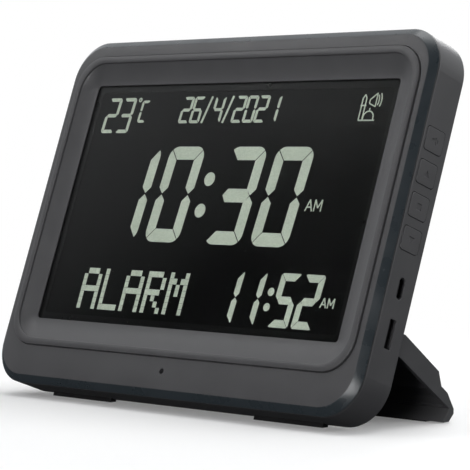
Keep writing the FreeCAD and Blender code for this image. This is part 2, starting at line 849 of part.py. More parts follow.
def make_alarm_time_segments():
    """The smaller second time at the lower right, with its colon."""
    centres = [alarm_right - alarm_digit_width / 2]
    centres.append(centres[0] - alarm_pitch)
    centres.append(centres[1] - alarm_pitch - alarm_colon_gap + small_segment_gap)
    centres.append(centres[2] - alarm_pitch)
    pieces = []
    for character, cx in zip("2511", centres):
        pieces += digit(character, cx, alarm_z, alarm_digit_width, alarm_digit_height, alarm_stroke_side,
                        alarm_stroke_level, alarm_stroke_side / 2)
    colon_x = centres[1] - alarm_digit_width / 2 - alarm_colon_gap / 2
    for sign in (-1, 1):
        pieces.append(dot(colon_x + sign * alarm_stroke_level * figure_slant,
                          alarm_z + sign * alarm_stroke_level, alarm_dot_radius))
    return group(pieces)


LETTERS = {
    "A": (" ### ", "#   #", "#   #", "#####", "#   #", "#   #", "#   #"),
    "L": ("#    ", "#    ", "#    ", "#    ", "#    ", "#    ", "#####"),
    "R": ("#### ", "#   #", "#   #", "#### ", "# #  ", "#  # ", "#   #"),
    "M": ("#   #", "## ##", "# # #", "# # #", "#   #", "#   #", "#   #"),
}


def make_message_dots():
    """A plain word in square dots at the lower left, seven rows high."""
    left = -window_half_w + message_margin_side
    bottom = window_rise - window_half_h + message_margin_bottom
    pieces = []
    for index, letter in enumerate("ALARM"):
        for row, line in enumerate(LETTERS[letter]):
            for column, mark in enumerate(line):
                if mark == "#":
                    x = left + index * letter_pitch + column * dot_pitch_x
                    z = bottom + (6 - row) * dot_pitch_z
                    pieces.append(box(x, x + dot_pitch_x - dot_gap, segment_front, front_film, z,
                                      z + dot_pitch_z - dot_gap))
    return group(pieces)


def period_mark(x, z, share):
    """The letters A and M, drawn in straight strokes from their lower left corner at a share of full size."""
    w = mark_letter_width * share
    h = mark_height * share
    t = mark_stroke
    letter_a = joined([strip(x, z, x + w / 2, z + h, t), strip(x + w, z, x + w / 2, z + h, t),
                       strip(x + w * 0.2, z + h * 0.35, x + w * 0.8, z + h * 0.35, t)])
    m = x + w + mark_gap * share
    letter_m = joined([strip(m, z, m, z + h, t), strip(m, z + h, m + w / 2, z + h * 0.3, t),
                       strip(m + w, z + h, m + w / 2, z + h * 0.3, t), strip(m + w, z, m + w, z + h, t)])
    return [letter_a, letter_m]


def make_period_marks():
    """Morning marks beside both times."""
    main_right = main_shift + main_group_gap / 2 + main_pitch + main_digit_width / 2
    main_x = main_right + mark_offset
    main_z = window_rise + main_rise - main_stroke_level
    return group(period_mark(main_x, main_z, 1)
                 + period_mark(alarm_right + mark_gap, alarm_z - mark_height * 0.4, small_mark_share))


def make_mosque_symbol():
    """A small outline of a minaret, a dome and a loudspeaker with two sound arcs."""
    x0 = window_half_w - figure_margin_side - symbol_width - small_segment_gap
    z0 = top_row_z - symbol_height
    w = symbol_width
    h = symbol_height
    t = symbol_stroke
    tower_left = x0 + w * 0.05
    tower_right = x0 + w * 0.22
    tower_top = z0 + h * 0.82
    tower_tip = (x0 + w * 0.135, z0 + h * 0.95)
    balcony = z0 + h * 0.55
    dome_x = x0 + w * 0.48
    dome_r = w * 0.24
    horn_x = x0 + w * 0.4
    lines = joined([
        strip(tower_left, z0, tower_left, tower_top, t),
        strip(tower_right, z0, tower_right, tower_top, t),
        strip(tower_left, tower_top, tower_tip[0], tower_tip[1], t),
        strip(tower_right, tower_top, tower_tip[0], tower_tip[1], t),
        strip(tower_left - t, balcony, tower_right + t, balcony, t),
        strip(tower_left, z0, x0 + w * 0.8, z0, t),
        strip(dome_x + dome_r, z0, dome_x + dome_r, z0 + h * 0.12, t),
        strip(dome_x - dome_r, z0, dome_x - dome_r, z0 + h * 0.12, t),
        arc_strip(dome_x, z0 + h * 0.1, dome_r, 0, 180, t),
        strip(dome_x, z0 + h * 0.1 + dome_r, dome_x, z0 + h * 0.45, t),
    ])
    horn = joined([
        strip(horn_x, z0 + h * 0.62, horn_x, z0 + h * 0.76, t),
        strip(horn_x, z0 + h * 0.76, horn_x + w * 0.3, z0 + h, t),
        strip(horn_x, z0 + h * 0.62, horn_x + w * 0.3, z0 + h * 0.5, t),
        strip(horn_x + w * 0.3, z0 + h * 0.5, horn_x + w * 0.3, z0 + h, t),
    ])
    waves = [arc_strip(horn_x, z0 + h * 0.72, w * reach, -24, 30, t) for reach in (0.42, 0.54)]
    return group([lines, horn] + waves)


def make_main_board():
    """Circuit board with its screw holes and a short tongue at the bottom for the sensor."""
    plate = box(-board_left, board_right, board_front, board_back, board_bottom, board_top)
    tongue = box(-board_tongue_width / 2, board_tongue_width / 2, board_front, board_back,
                 board_bottom - board_tongue_length, board_bottom + wall)
    shape = joined([plate, tongue])
    for x, z in board_screws:
        shape = shape.cut(rod_y(x, z, small_screw_radius + screw_clearance, board_front, board_back))
    for x, z in case_screw_places:
        shape = shape.cut(rod_y(x, z, case_post_radius + screw_clearance, board_front, board_back))
    return shape


def make_board_screws():
    """Four small screws holding the board to the housing's posts."""
    bite = back_inside - board_back
    return group([screw(x, z, board_front, 1, board_thickness + bite * 0.8, small_screw_radius,
                        small_head_radius, small_head_height) for x, z in board_screws])


def chip(x, z, length, width):
    """A flat chip on the back of the board."""
    return box(x - length / 2, x + length / 2, board_back, board_back + chip_height, z - width / 2,
               z + width / 2)


chip_row_z = (board_bottom - half_h + hinge_rise * 2) / 2 - board_bottom_gap


def make_processor_chip():
    """The main chip, with its pin rows."""
    half = processor_size / 2
    pieces = [chip(0, chip_row_z, processor_size, processor_size)]
    y0 = board_back
    y1 = board_back + chip_height / 2
    for i in range(pin_count):
        step = (i - (pin_count - 1) / 2) * processor_size / (pin_count + 1)
        left = step - pin_width / 2
        right = step + pin_width / 2
        for low, high in ((-half - pin_length, -half + pin_width), (half - pin_width, half + pin_length)):
            pieces.append(box(left, right, y0, y1, chip_row_z + low, chip_row_z + high))
            pieces.append(box(low, high, y0, y1, chip_row_z + left, chip_row_z + right))
    return joined(pieces)


def make_memory_chip():
    """The sound memory beside the main chip."""
    return chip(processor_size * 2, chip_row_z, memory_length, memory_width)


def make_amplifier_chip():
    """The sound amplifier on the other side of the main chip."""
    return chip(-processor_size * 2, chip_row_z, amplifier_size, amplifier_size)


def make_crystal_can():
    """Timing crystal in its metal can, in the deep bay behind the board."""
    return slab(crystal_width / 2, crystal_length / 2, crystal_width * 0.45, board_back,
                board_back + crystal_height, bay_x, bulge_z - bulge_height / 6)


def make_capacitors():
    """Two round capacitors in the bay."""
    z = bulge_z - bulge_height / 3
    spread = capacitor_radius * 1.2
    return group([rod_y(bay_x + s * spread, z, capacitor_radius, board_back, board_back + capacitor_height)
                  for s in (-1, 1)])


lead_socket_gap = socket_width * 0.75
speaker_lead_z = bulge_z - bulge_height / 12
battery_socket_x = bay_x + lead_socket_gap
speaker_socket_x = bay_x - lead_socket_gap


def make_lead_sockets():
    """Sockets on the board for the battery's and the speaker's leads."""
    return group([
        slab(socket_width / 2, socket_length / 2, dot_gap, board_back, board_back + socket_height,
             battery_socket_x, bulge_z),
        slab(socket_width / 2, socket_length / 2, dot_gap, board_back, board_back + socket_height,
             speaker_socket_x, bulge_z),
    ])


def lead(x_start, y_start, x_end, z):
    """A round lead that runs across the bay and turns down into its socket."""
    y_end = board_back + socket_height
    sign = 1 if x_end > x_start else -1
    r = min(lead_bend, abs(x_end - x_start) * 0.8)
    s = math.sqrt(0.5)
    turn = V(x_end - sign * r, y_start - r, z)
    path = [Part.LineSegment(V(x_start, y_start, z), V(turn.x, y_start, z)).toShape(),
            Part.Arc(V(turn.x, y_start, z), V(turn.x + sign * r * s, turn.y + r * s, z),
                     V(x_end, turn.y, z)).toShape(),
            Part.LineSegment(V(x_end, turn.y, z), V(x_end, y_end, z)).toShape()]
    circle = Part.makeCircle(lead_radius, V(x_start, y_start, z), V(1, 0, 0))
    return Part.Wire(path).makePipeShell([Part.Wire(circle)], True, True)


def make_battery_leads():
    """Two leads from the battery through the tray's wall to the board."""
    start = door_x - battery_width / 2
    return group([lead(start, battery_lead_y, battery_socket_x, bulge_z + z)
                  for z in (-lead_spacing / 2, lead_spacing / 2)])


def make_speaker_leads():
    """Two leads from the speaker's frame to the board."""
    start = speaker_x + speaker_size / 2
    y = speaker_seat - basket_wall / 2
    return group([lead(start, y, speaker_socket_x, bulge_z + z) for z in (-lead_spacing / 2, lead_spacing / 2)])


def make_temperature_sensor():
    """Bead behind the small hole in the face, on two legs that stand on the board's tongue."""
    z = -half_h + border_bottom + chamfer_width - sensor_drop
    start = bezel_back + tongue_clearance
    bead = rod_y(0, z, sensor_hole_radius * 2 - tongue_clearance, start, start + tongue_depth)
    legs = [rod_y(side * sensor_hole_radius, z, sensor_leg_radius, start + tongue_depth / 2, board_front)
            for side in (-1, 1)]
    return joined([bead] + legs)


def make_side_switches():
    """Four push switches standing on the front of the board behind the buttons."""
    switches = []
    for z in button_zs:
        body = box(switch_face - switch_length, switch_face, board_front - switch_height, board_front,
                   z - switch_width / 2, z + switch_width / 2)
        bore = rod_x(button_y, z, plunger_radius + plunger_clearance, switch_face - switch_length * 0.75,
                     switch_face)
        switches.append(body.cut(bore))
    return group(switches)


def button(z):
    """A side button with its inner flange and its stem."""
    cap = side_slab(button_depth / 2, button_height / 2, button_corner, flange_outer, half_w + button_proud,
                    button_y, z)
    rim_edges = [e for e in cap.Edges if abs(e.BoundBox.XMin - half_w - button_proud) < 1e-4]
    cap = cap.makeFillet(button_proud * 0.8, rim_edges)
    flange = side_slab(button_depth / 2 + flange_overlap, button_height / 2 + flange_overlap, button_corner,
                       flange_inner, flange_outer, button_y, z)
    stem = rod_x(button_y, z, stem_radius, stem_end, flange_inner)
    return joined([cap, flange, stem])


def marked(shape, z, marks):
    """A button with shallow marks sunk into its outer face; each mark is a list of corner points."""
    face = half_w + button_proud
    for points in marks:
        corners = [V(face - symbol_depth, button_y + a, z + b) for a, b in points]
        mark = Part.Face(Part.makePolygon(corners + [corners[0]])).extrude(V(2 * symbol_depth, 0, 0))
        shape = shape.cut(mark)
    return shape


mark_size = 1.7


def make_sound_button():
    """Top button, marked with a small loudspeaker."""
    z = button_zs[0]
    m = mark_size
    horn = [(-m, -m * 0.4), (-m * 0.3, -m * 0.4), (m * 0.5, -m), (m * 0.5, m), (-m * 0.3, m * 0.4),
            (-m, m * 0.4)]
    wave = [(m * 0.9, -m * 0.5), (m * 1.1, -m * 0.5), (m * 1.1, m * 0.5), (m * 0.9, m * 0.5)]
    return marked(button(z), z, [horn, wave])


def make_up_button():
    """Second button, marked with an upward triangle."""
    z = button_zs[1]
    m = mark_size
    return marked(button(z), z, [[(-m, -m * 0.8), (m, -m * 0.8), (0, m * 0.9)]])


def make_set_button():
    """Third button, marked with a square."""
    z = button_zs[2]
    m = mark_size * 0.8
    return marked(button(z), z, [[(-m, -m), (m, -m), (m, m), (-m, m)]])


def make_down_button():
    """Fourth button, marked with a downward triangle."""
    z = button_zs[3]
    m = mark_size
    return marked(button(z), z, [[(-m, m * 0.8), (m, m * 0.8), (0, -m * 0.9)]])


def plunger(z):
    """A switch's push pin, which travels with its button."""
    return rod_x(button_y, z, plunger_radius, stem_end - plunger_length, stem_end)


def make_usb_socket():
    """Charging socket: an oval metal shell with its tongue inside."""
    outer_x = half_w - usb_recess
    back_x = outer_x - usb_length
    hy = usb_height / 2
    hz = usb_width / 2
    shell = side_slab(hy, hz, hy * usb_roundness, back_x, outer_x, usb_y, usb_z)
    hollow = side_slab(hy - usb_wall, hz - usb_wall, (hy - usb_wall) * usb_roundness, back_x + usb_wall * 2, outer_x,
                       usb_y, usb_z)
    blade = box(back_x + usb_wall, outer_x - usb_wall * 3, usb_y - usb_wall, usb_y + usb_wall,
                usb_z - hz * 0.7, usb_z + hz * 0.7)
    return joined([shell.cut(hollow), blade])


def make_card_socket():
    """Memory card socket with a thin mouth."""
    outer_x = inner_w - flange_clearance
    back_x = outer_x - card_socket_length
    body = box(back_x, outer_x, card_y - card_socket_height / 2, card_y + card_socket_height / 2,
               card_z - card_socket_width / 2, card_z + card_socket_width / 2)
    mouth = box(back_x + usb_wall * 3, outer_x, card_y - card_mouth_height / 2, card_y + card_mouth_height / 2,
                card_z - card_slot_width / 2 + usb_wall, card_z + card_slot_width / 2 - usb_wall)
    return body.cut(mouth)


def make_speaker_gasket():
    """Foam ring between the speaker and the housing."""
    ring = rod_y(speaker_x, bulge_z, gasket_radius, speaker_seat, bulge_inside)
    return ring.cut(rod_y(speaker_x, bulge_z, speaker_cone_radius, speaker_seat, bulge_inside))


def make_speaker_basket():
    """Square flange and tapered metal frame of the speaker."""
    half = speaker_size / 2
    flange = slab(half, half, speaker_corner / 8, speaker_seat - basket_wall, speaker_seat, speaker_x,
                  bulge_z)
    neck_y = speaker_seat - speaker_depth + magnet_height
    tall = speaker_seat - basket_wall - neck_y
    axis = V(0, 1, 0)
    cup = Part.makeCone(speaker_neck_radius, speaker_cone_radius, tall, V(speaker_x, neck_y, bulge_z), axis)
    hollow = Part.makeCone(speaker_neck_radius - basket_wall, speaker_cone_radius - basket_wall,
                           tall, V(speaker_x, neck_y + basket_wall, bulge_z), axis)
    mouth = rod_y(speaker_x, bulge_z, speaker_cone_radius - basket_wall, speaker_seat - basket_wall * 1.01,
                  speaker_seat)
    shape = joined([flange, cup]).cut(hollow).cut(mouth)
    for sx in (-1, 1):
        for sz in (-1, 1):
            shape = shape.cut(rod_y(speaker_x + sx * speaker_corner, bulge_z + sz * speaker_corner,
                                    small_screw_radius + screw_clearance, speaker_seat - basket_wall,
                                    speaker_seat))
    return shape


def make_speaker_magnet():
    """Round magnet on the speaker's neck."""
    y1 = speaker_seat - speaker_depth + magnet_height
    return rod_y(speaker_x, bulge_z, magnet_radius, y1 - magnet_height, y1)


def make_speaker_cone():
    """Thin cone with its dust cap, and a flat surround that reaches the frame's rim."""
    y0 = speaker_seat - speaker_depth + magnet_height + basket_wall * 2.5
    y1 = speaker_seat - basket_wall / 2
    r0 = speaker_neck_radius - 2 * basket_wall
    r1 = speaker_cone_radius - 3 * basket_wall
    axis = V(0, 1, 0)
    t = film_thickness * 3
    start = V(speaker_x, y0, bulge_z)
    shell = Part.makeCone(r0, r1, y1 - y0, start, axis).cut(Part.makeCone(r0 - t, r1 - t, y1 - y0, start, axis))
    cap = rod_y(speaker_x, bulge_z, r0, y0, y0 + t)
    surround = rod_y(speaker_x, bulge_z, speaker_cone_radius - basket_wall - thread_clearance * 3, y1 - t, y1)
    surround = surround.cut(rod_y(speaker_x, bulge_z, r1 - t, y1 - t, y1))
    return joined([shell, cap, surround])


def make_speaker_screws():
    """Four small screws at the speaker's corners."""
    bite = gasket_thickness + wall / 2 - dot_gap
    return group([screw(speaker_x + sx * speaker_corner, bulge_z + sz * speaker_corner,
                        speaker_seat - basket_wall, 1, basket_wall + bite, small_screw_radius,
                        small_head_radius, small_head_height) for sx in (-1, 1) for sz in (-1, 1)])


battery_z = bulge_z - tray_in_h + tray_ledge + battery_height / 2 + battery_lift / 2


def make_battery_pack():
    """Flat rechargeable pack lying in the tray."""
    return slab(battery_width / 2, battery_height / 2, battery_corner, battery_front, battery_back, door_x,
                battery_z)


def make_battery_foam():
    """Foam pad that holds the battery against the tray."""
    return slab(battery_width / 2 - battery_lift, battery_height / 2 - battery_lift, battery_corner,
                battery_back, door_front, door_x, battery_z)


def make_battery_door():
    """Cover over the tray, flush with the bulge, with a lip under each side and one screw hole."""
    c = door_clearance
    plate = slab(tray_in_w - c, tray_in_h - c, door_corner - c, door_front, bulge_back, door_x, bulge_z)
    plate = plate.cut(rod_y(door_x, door_boss_z, screw_radius + screw_clearance, door_front, bulge_back))
    grip_z = bulge_z - tray_in_h * 0.6
    for i in range(3):
        z = grip_z + i * door_corner
        plate = plate.cut(box(door_x - door_width / 6, door_x + door_width / 6,
                              bulge_back - door_thickness / 4, bulge_back, z, z + door_corner / 2))
    return plate


def make_door_screw():
    """Single screw of the battery cover."""
    return screw(door_x, door_boss_z, bulge_back, -1, door_thickness + screw_bite, screw_radius,
                 screw_head_radius, screw_head_height)


def make_case_screws():
    """Eight screws from the back through the posts into the bezel's bosses."""
    length = case_post_floor + screw_bite * 0.9
    return group([screw(x, z, case_seat, -1, length, screw_radius, screw_head_radius, screw_head_height)
                  for x, z in case_screw_places])


def make_body_feet():
    """Two wedge pads under the body, flat to the floor."""
    pads = []
    for side in (-1, 1):
        outer = side * (half_w - body_corner - foot_inset)
        inner = outer - side * foot_length
        pad = box(min(outer, inner), max(outer, inner), case_depth - wall / 2 - foot_depth,
                  case_depth - wall / 2, -half_h - foot_depth, -half_h)
        pads.append(pad.cut(below_floor()))
    return group(pads)


plate_cos = math.cos(math.radians(plate_slope))
plate_sin = math.sin(math.radians(plate_slope))


def plate_point(along, below):
    """A point of the stand, along its top face from the hinge and below that face."""
    drop = below - barrel_radius
    return V(0, pivot_y + along * plate_cos - drop * plate_sin, pivot_z - along * plate_sin - drop * plate_cos)


def to_floor(start, other, gap):
    """Where the line from start through other comes to gap above the floor."""
    h0 = height(start.y, start.z) - gap
    h1 = height(other.y, other.z) - gap
    t = h0 / (h0 - h1)
    return start + (other - start) * t


nose_along = plate_run + step_run + tread_run + nose_run + nose_round
nose_below = step_drop + nose_drop + nose_height
toe_along = nose_along - toe_thickness
toe_heel = to_floor(plate_point(nose_along, nose_below),
                    plate_point(nose_along - nose_round / 2, nose_below + plate_depth / 2), foot_proud)
toe_tip = to_floor(plate_point(toe_along, plate_depth_end),
                   plate_point(toe_along + nose_round / 2, plate_depth_end * 2), foot_proud)


def make_stand():
    """Fold-out leg: a stepped plate, hollow underneath, with cheeks, ribs, toe and hinge barrel."""
    steps = [(plate_run, 0), (plate_run + step_run, step_drop), (plate_run + step_run + tread_run, step_drop),
             (plate_run + step_run + tread_run + nose_run, step_drop + nose_drop), (nose_along, nose_below)]
    x0 = -stand_width / 2
    top = [plate_point(a, b) for a, b in steps]
    root_low = V(0, pivot_y - barrel_radius, pivot_z + barrel_radius - plate_depth)
    points = [root_low, V(0, pivot_y - barrel_radius, pivot_z), plate_point(0, 0)] + top
    points += [toe_heel, toe_tip, plate_point(toe_along, plate_depth_end), plate_point(barrel_radius * 1.5,
                                                                                      plate_depth)]
    half_turn = math.radians((90 + plate_slope) / 2 + 90 - plate_slope)
    crown = V(0, pivot_y + barrel_radius * math.cos(half_turn), pivot_z + barrel_radius * math.sin(half_turn))
    points = [V(x0, p.y, p.z) for p in points]
    crown.x = x0
    edges = [Part.LineSegment(points[0], points[1]).toShape(), Part.Arc(points[1], crown, points[2]).toShape()]
    for first, last in zip(points[2:], points[3:] + [points[0]]):
        edges.append(Part.LineSegment(first, last).toShape())
    solid = Part.Face(Part.Wire(edges)).extrude(V(stand_width, 0, 0))
    step_in = skin * 0.4
    open_below = plate_depth * 2

    def hollow(start):
        corners = [(start, skin), (plate_run - step_in, skin), (plate_run + step_run - step_in, step_drop + skin),
                   (plate_run + step_run + tread_run, step_drop + skin),
                   (toe_along - skin / 2, plate_depth_end - skin / 2), (toe_along - skin / 2, open_below),
                   (start, open_below)]
        return [plate_point(a, b) for a, b in corners]
    bay_edges = [-stand_width / 2 + skin - rib_thickness / 2]
    pitch = (stand_width - 2 * skin + rib_thickness) / (rib_count + 1)
    for i in range(1, rib_count + 2):
        bay_edges.append(bay_edges[0] + i * pitch)
    for low, high in zip(bay_edges, bay_edges[1:]):
        x1 = low + rib_thickness / 2
        x2 = high - rib_thickness / 2
        corners = [V(x1, p.y, p.z) for p in hollow(barrel_radius + skin)]
        face = Part.Face(Part.makePolygon(corners + [corners[0]]))
        solid = solid.cut(face.extrude(V(x2 - x1, 0, 0)))
    ear_swing = math.hypot(pivot_out, ear_radius)
    for side in (-hinge_side, hinge_side):
        for ear_side in (-1, 1):
            ear_x = side + ear_side * (knuckle_width / 2 + hinge_gap + ear_width / 2)
            half = ear_width / 2 + hinge_gap
            solid = solid.cut(box(ear_x - half, ear_x + half, case_depth, pivot_y + ear_swing + hinge_gap,
                                  pivot_z - 2 * plate_depth, pivot_z + plate_depth))
        reach = knuckle_width / 2 + hinge_gap
        solid = solid.cut(rod_x(pivot_y, pivot_z, pin_radius + pin_clearance, side - reach, side + reach))
    return solid


def make_hinge_pins():
    """A steel pin through each pair of ears."""
    reach = knuckle_width / 2 + hinge_gap + ear_width
    return group([rod_x(pivot_y, pivot_z, pin_radius, side - reach, side + reach)
                  for side in (-hinge_side, hinge_side)])


def make_stand_feet():
    """Two soft pads under the stand's toe, flat to the floor."""
    pads = []
    for side in (-1, 1):
        outer = side * (stand_width / 2 - foot_inset)
        inner = outer - side * foot_length
        middle_y = (toe_tip.y + toe_heel.y) / 2
        middle_z = (toe_tip.z + toe_heel.z) / 2
        span = toe_heel - toe_tip
        half = span.Length / 2 - hinge_gap
        along = span.normalize()
        low = V(min(outer, inner), middle_y - along.y * half, middle_z - along.z * half)
        high = V(min(outer, inner), middle_y + along.y * half, middle_z + along.z * half)
        down = V(0, lean_sin, -lean_cos) * foot_proud
        face = Part.Face(Part.makePolygon([low, high, high + down, low + down, low]))
        pads.append(face.extrude(V(abs(outer - inner), 0, 0)))
    return group(pads)


nodes = {
    "front_bezel": make_front_bezel(),
    "rear_housing": make_rear_housing(),
    "case_screws": make_case_screws(),
    "body_feet": make_body_feet(),
    "display_window": make_display_window(),
    "front_polariser": make_film(front_film, film_thickness, glass_ledge),
    "lcd_front_glass": make_glass(front_glass, glass_ledge),
    "lcd_rear_glass": make_glass(rear_glass, 0),
    "rear_polariser": make_film(rear_film, film_thickness, 0),
    "diffuser_sheet": make_film(diffuser_front, diffuser_thickness, 0),
    "light_guide": make_light_guide(),
    "reflector_sheet": make_film(reflector_front, film_thickness, 0),
    "backlight_strip": make_backlight_strip(),
    "backlight_leds": make_backlight_leds(),
    "lcd_frame": make_lcd_frame(),
    "frame_screws": make_frame_screws(),
    "display_ribbon": make_display_ribbon(),
    "main_time_segments": make_main_time_segments(),
    "date_segments": make_date_segments(),
    "temperature_segments": make_temperature_segments(),
    "alarm_time_segments": make_alarm_time_segments(),
    "message_dots": make_message_dots(),
    "period_marks": make_period_marks(),
    "mosque_symbol": make_mosque_symbol(),
    "main_board": make_main_board(),
    "board_screws": make_board_screws(),
    "processor_chip": make_processor_chip(),
    "memory_chip": make_memory_chip(),
    "amplifier_chip": make_amplifier_chip(),
    "crystal_can": make_crystal_can(),
    "capacitors": make_capacitors(),
    "lead_sockets": make_lead_sockets(),
    "usb_socket": make_usb_socket(),
    "card_socket": make_card_socket(),
    "side_switches": make_side_switches(),
    "temperature_sensor": make_temperature_sensor(),
    "sound_button": make_sound_button(),
    "up_button": make_up_button(),
    "set_button": make_set_button(),
    "down_button": make_down_button(),
    "sound_plunger": plunger(button_zs[0]),
    "up_plunger": plunger(button_zs[1]),
    "set_plunger": plunger(button_zs[2]),
    "down_plunger": plunger(button_zs[3]),
    "speaker_basket": make_speaker_basket(),
    "speaker_magnet": make_speaker_magnet(),
    "speaker_cone": make_speaker_cone(),
    "speaker_gasket": make_speaker_gasket(),
    "speaker_screws": make_speaker_screws(),
    "speaker_leads": make_speaker_leads(),
    "battery_pack": make_battery_pack(),
    "battery_leads": make_battery_leads(),
    "battery_foam": make_battery_foam(),
    "battery_door": make_battery_door(),
    "door_screw": make_door_screw(),
    "stand": make_stand(),
    "hinge_pins": make_hinge_pins(),
    "stand_feet": make_stand_feet(),
}

# Lean every piece back about the width axis, then centre the whole over its footprint on the floor
for shape in nodes.values():
    shape.rotate(V(0, 0, 0), V(1, 0, 0), -lean)
whole = Part.makeCompound(list(nodes.values())).optimalBoundingBox(False, False)
shift = V(-(whole.XMin + whole.XMax) / 2, -(whole.YMin + whole.YMax) / 2, -floor_level)
os.makedirs("parts", exist_ok=True)
for name, shape in nodes.items():
    shape.translate(shift)
    shape.exportStep("parts/" + name + ".step")

pivot_height = height(pivot_y, pivot_z)
pivot_back = pivot_z * lean_sin + pivot_y * lean_cos + shift.y
print("hinge line y %.4f z %.4f" % (pivot_back, pivot_height))
print("footprint shift x %.4f y %.4f z %.4f" % (shift.x, shift.y, shift.z))
print("folded angle %.2f" % (90 + plate_slope))
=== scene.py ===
"""A leaning desk clock: finish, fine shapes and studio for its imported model."""

import logging
import math
from dataclasses import dataclass
from enum import Enum

import bmesh
import bpy
from mathutils import Matrix, Vector


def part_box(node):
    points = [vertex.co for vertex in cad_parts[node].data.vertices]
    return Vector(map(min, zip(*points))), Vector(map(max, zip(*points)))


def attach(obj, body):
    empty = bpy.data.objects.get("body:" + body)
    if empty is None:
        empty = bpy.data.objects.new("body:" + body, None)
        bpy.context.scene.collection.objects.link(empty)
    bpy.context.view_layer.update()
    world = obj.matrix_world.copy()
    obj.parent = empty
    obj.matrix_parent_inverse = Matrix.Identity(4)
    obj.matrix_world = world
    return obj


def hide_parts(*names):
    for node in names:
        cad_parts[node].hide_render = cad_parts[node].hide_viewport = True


log = logging.getLogger("clock")

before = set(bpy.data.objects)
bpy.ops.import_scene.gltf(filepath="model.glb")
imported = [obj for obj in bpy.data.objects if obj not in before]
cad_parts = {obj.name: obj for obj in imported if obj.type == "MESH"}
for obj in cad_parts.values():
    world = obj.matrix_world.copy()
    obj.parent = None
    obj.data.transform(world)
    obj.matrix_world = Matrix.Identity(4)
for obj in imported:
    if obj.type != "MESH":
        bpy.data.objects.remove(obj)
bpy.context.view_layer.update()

MM = 0.001
SHARP_ANGLE = math.radians(38)
RAMP_START = 0.35
RAMP_STOP = 0.65
NOISE_LOW = 0.3
NOISE_HIGH = 0.7


class Slot(str, Enum):
    """Names of material slots, kept with each row of blocks but not read."""

    CASE = "case"
    FILM = "lcd_film"
    METAL = "bright_metal"
    BOARD = "board"


@dataclass(frozen=True)
class BodySizes:
    """Sizes of the body in millimetres, upright, measured from its middle."""

    half_w: float = 113.9
    half_h: float = 84.0
    corner: float = 18.5
    chamfer_width: float = 3.2
    chamfer_depth: float = 2.6
    back: float = 2.8
    flat_corner: float = 16.5
    rim_half_w: float = 107.4
    rim_half_h: float = 70.9
    rim_rise: float = 4.6
    rim_corner: float = 15.3
    rim_width: float = 3.2
    rim_height: float = 1.0
    rim_step: float = 1.0
    slope_side: float = 9.2
    slope_end: float = 10.2
    slope_bow: float = 0.18
    window_corner: float = 1.8
    lip: float = 0.5
    wall: float = 2.2
    lean: float = 19.87
    sensor_z: float = -72.7
    sensor_radius: float = 1.3


@dataclass(frozen=True)
class CameraSizes:
    """The photograph's camera: place in millimetres, look direction and lens."""

    place: tuple = (722.575, -710.589, 116.72)
    look: tuple = (-0.7095, 0.7036, -0.0401)
    lens: float = 174.83
    sensor: float = 36.0


@dataclass(frozen=True)
class PlasticFinish:
    """Moulded plastic: base colour, its lighter mottle, roughness and grain."""

    name: str
    colour: tuple
    mottle: tuple
    roughness: float = 0.45
    rough_spread: float = 0.08
    grain_scale: float = 5200.0
    grain_height: float = 0.00002
    specular: float = 0.5
    edge_radius: float = 0.00035
    coat: float = 0.0


@dataclass(frozen=True)
class MetalFinish:
    """Worked metal: colour, roughness and the scale of its brushing."""

    name: str
    colour: tuple
    roughness: float = 0.3
    brush_scale: float = 2600.0


BODY = BodySizes()
CAMERA = CameraSizes()

CASE = PlasticFinish("case_plastic", (0.053, 0.0525, 0.0555), (0.057, 0.0565, 0.0595), roughness=0.42,
                     rough_spread=0.04)
# Darker, bluer copy of the case plastic for the outer chamfer: its colour is painted shade, its lower
# roughness the chamfer's own finish.
CHAMFER_PAINTED_SHADE = PlasticFinish("chamfer_painted_shade", (0.018, 0.0235, 0.0275), (0.02, 0.0255, 0.03), roughness=0.3,
                         grain_height=0.000005)
BUTTONS = PlasticFinish("button_plastic", (0.053, 0.0525, 0.0555), (0.057, 0.0565, 0.0595), roughness=0.45)
RUBBER = PlasticFinish("soft_pads", (0.004, 0.004, 0.0045), (0.007, 0.007, 0.0075), roughness=0.85,
                       specular=0.2)
TRAY = PlasticFinish("display_tray", (0.012, 0.012, 0.013), (0.018, 0.018, 0.019))
CHIPS = PlasticFinish("chip_resin", (0.012, 0.012, 0.013), (0.024, 0.024, 0.025), roughness=0.6)
CREAM = PlasticFinish("socket_nylon", (0.6, 0.56, 0.46), (0.68, 0.64, 0.54))
WRAP = PlasticFinish("battery_wrap", (0.02, 0.07, 0.26), (0.03, 0.09, 0.32), roughness=0.3, coat=0.3)
FOAM = PlasticFinish("dark_foam", (0.02, 0.02, 0.021), (0.035, 0.035, 0.036), roughness=0.95,
                     grain_scale=1800.0, grain_height=0.0002)
CONE = PlasticFinish("cone_paper", (0.018, 0.018, 0.02), (0.03, 0.03, 0.032), roughness=0.85,
                     grain_scale=1500.0, grain_height=0.0001)
LEADS = PlasticFinish("lead_skin", (0.35, 0.02, 0.015), (0.42, 0.03, 0.02), roughness=0.4)
RIBBON = PlasticFinish("ribbon_film", (0.35, 0.16, 0.03), (0.45, 0.22, 0.05), roughness=0.3)
MASK = PlasticFinish("printed_border", (0.0022, 0.0022, 0.0024), (0.003, 0.003, 0.0032), roughness=0.35,
                     specular=0.2, edge_radius=0.0)
# Near-black finish for the inside of the sensor hole: painted shade.
HOLE_PAINTED_SHADE = PlasticFinish("sensor_hole_painted_shade", (0.002, 0.002, 0.002), (0.003, 0.003, 0.003), roughness=0.9, specular=0.0,
                     edge_radius=0.0)
STEEL = MetalFinish("screw_steel", (0.5, 0.5, 0.52), roughness=0.32)
BRIGHT = MetalFinish("bright_metal", (0.68, 0.68, 0.7), roughness=0.25)
DARK_METAL = MetalFinish("dark_metal", (0.05, 0.05, 0.055), roughness=0.4)
GOLD = MetalFinish("gold_contact", (0.85, 0.6, 0.22), roughness=0.22)


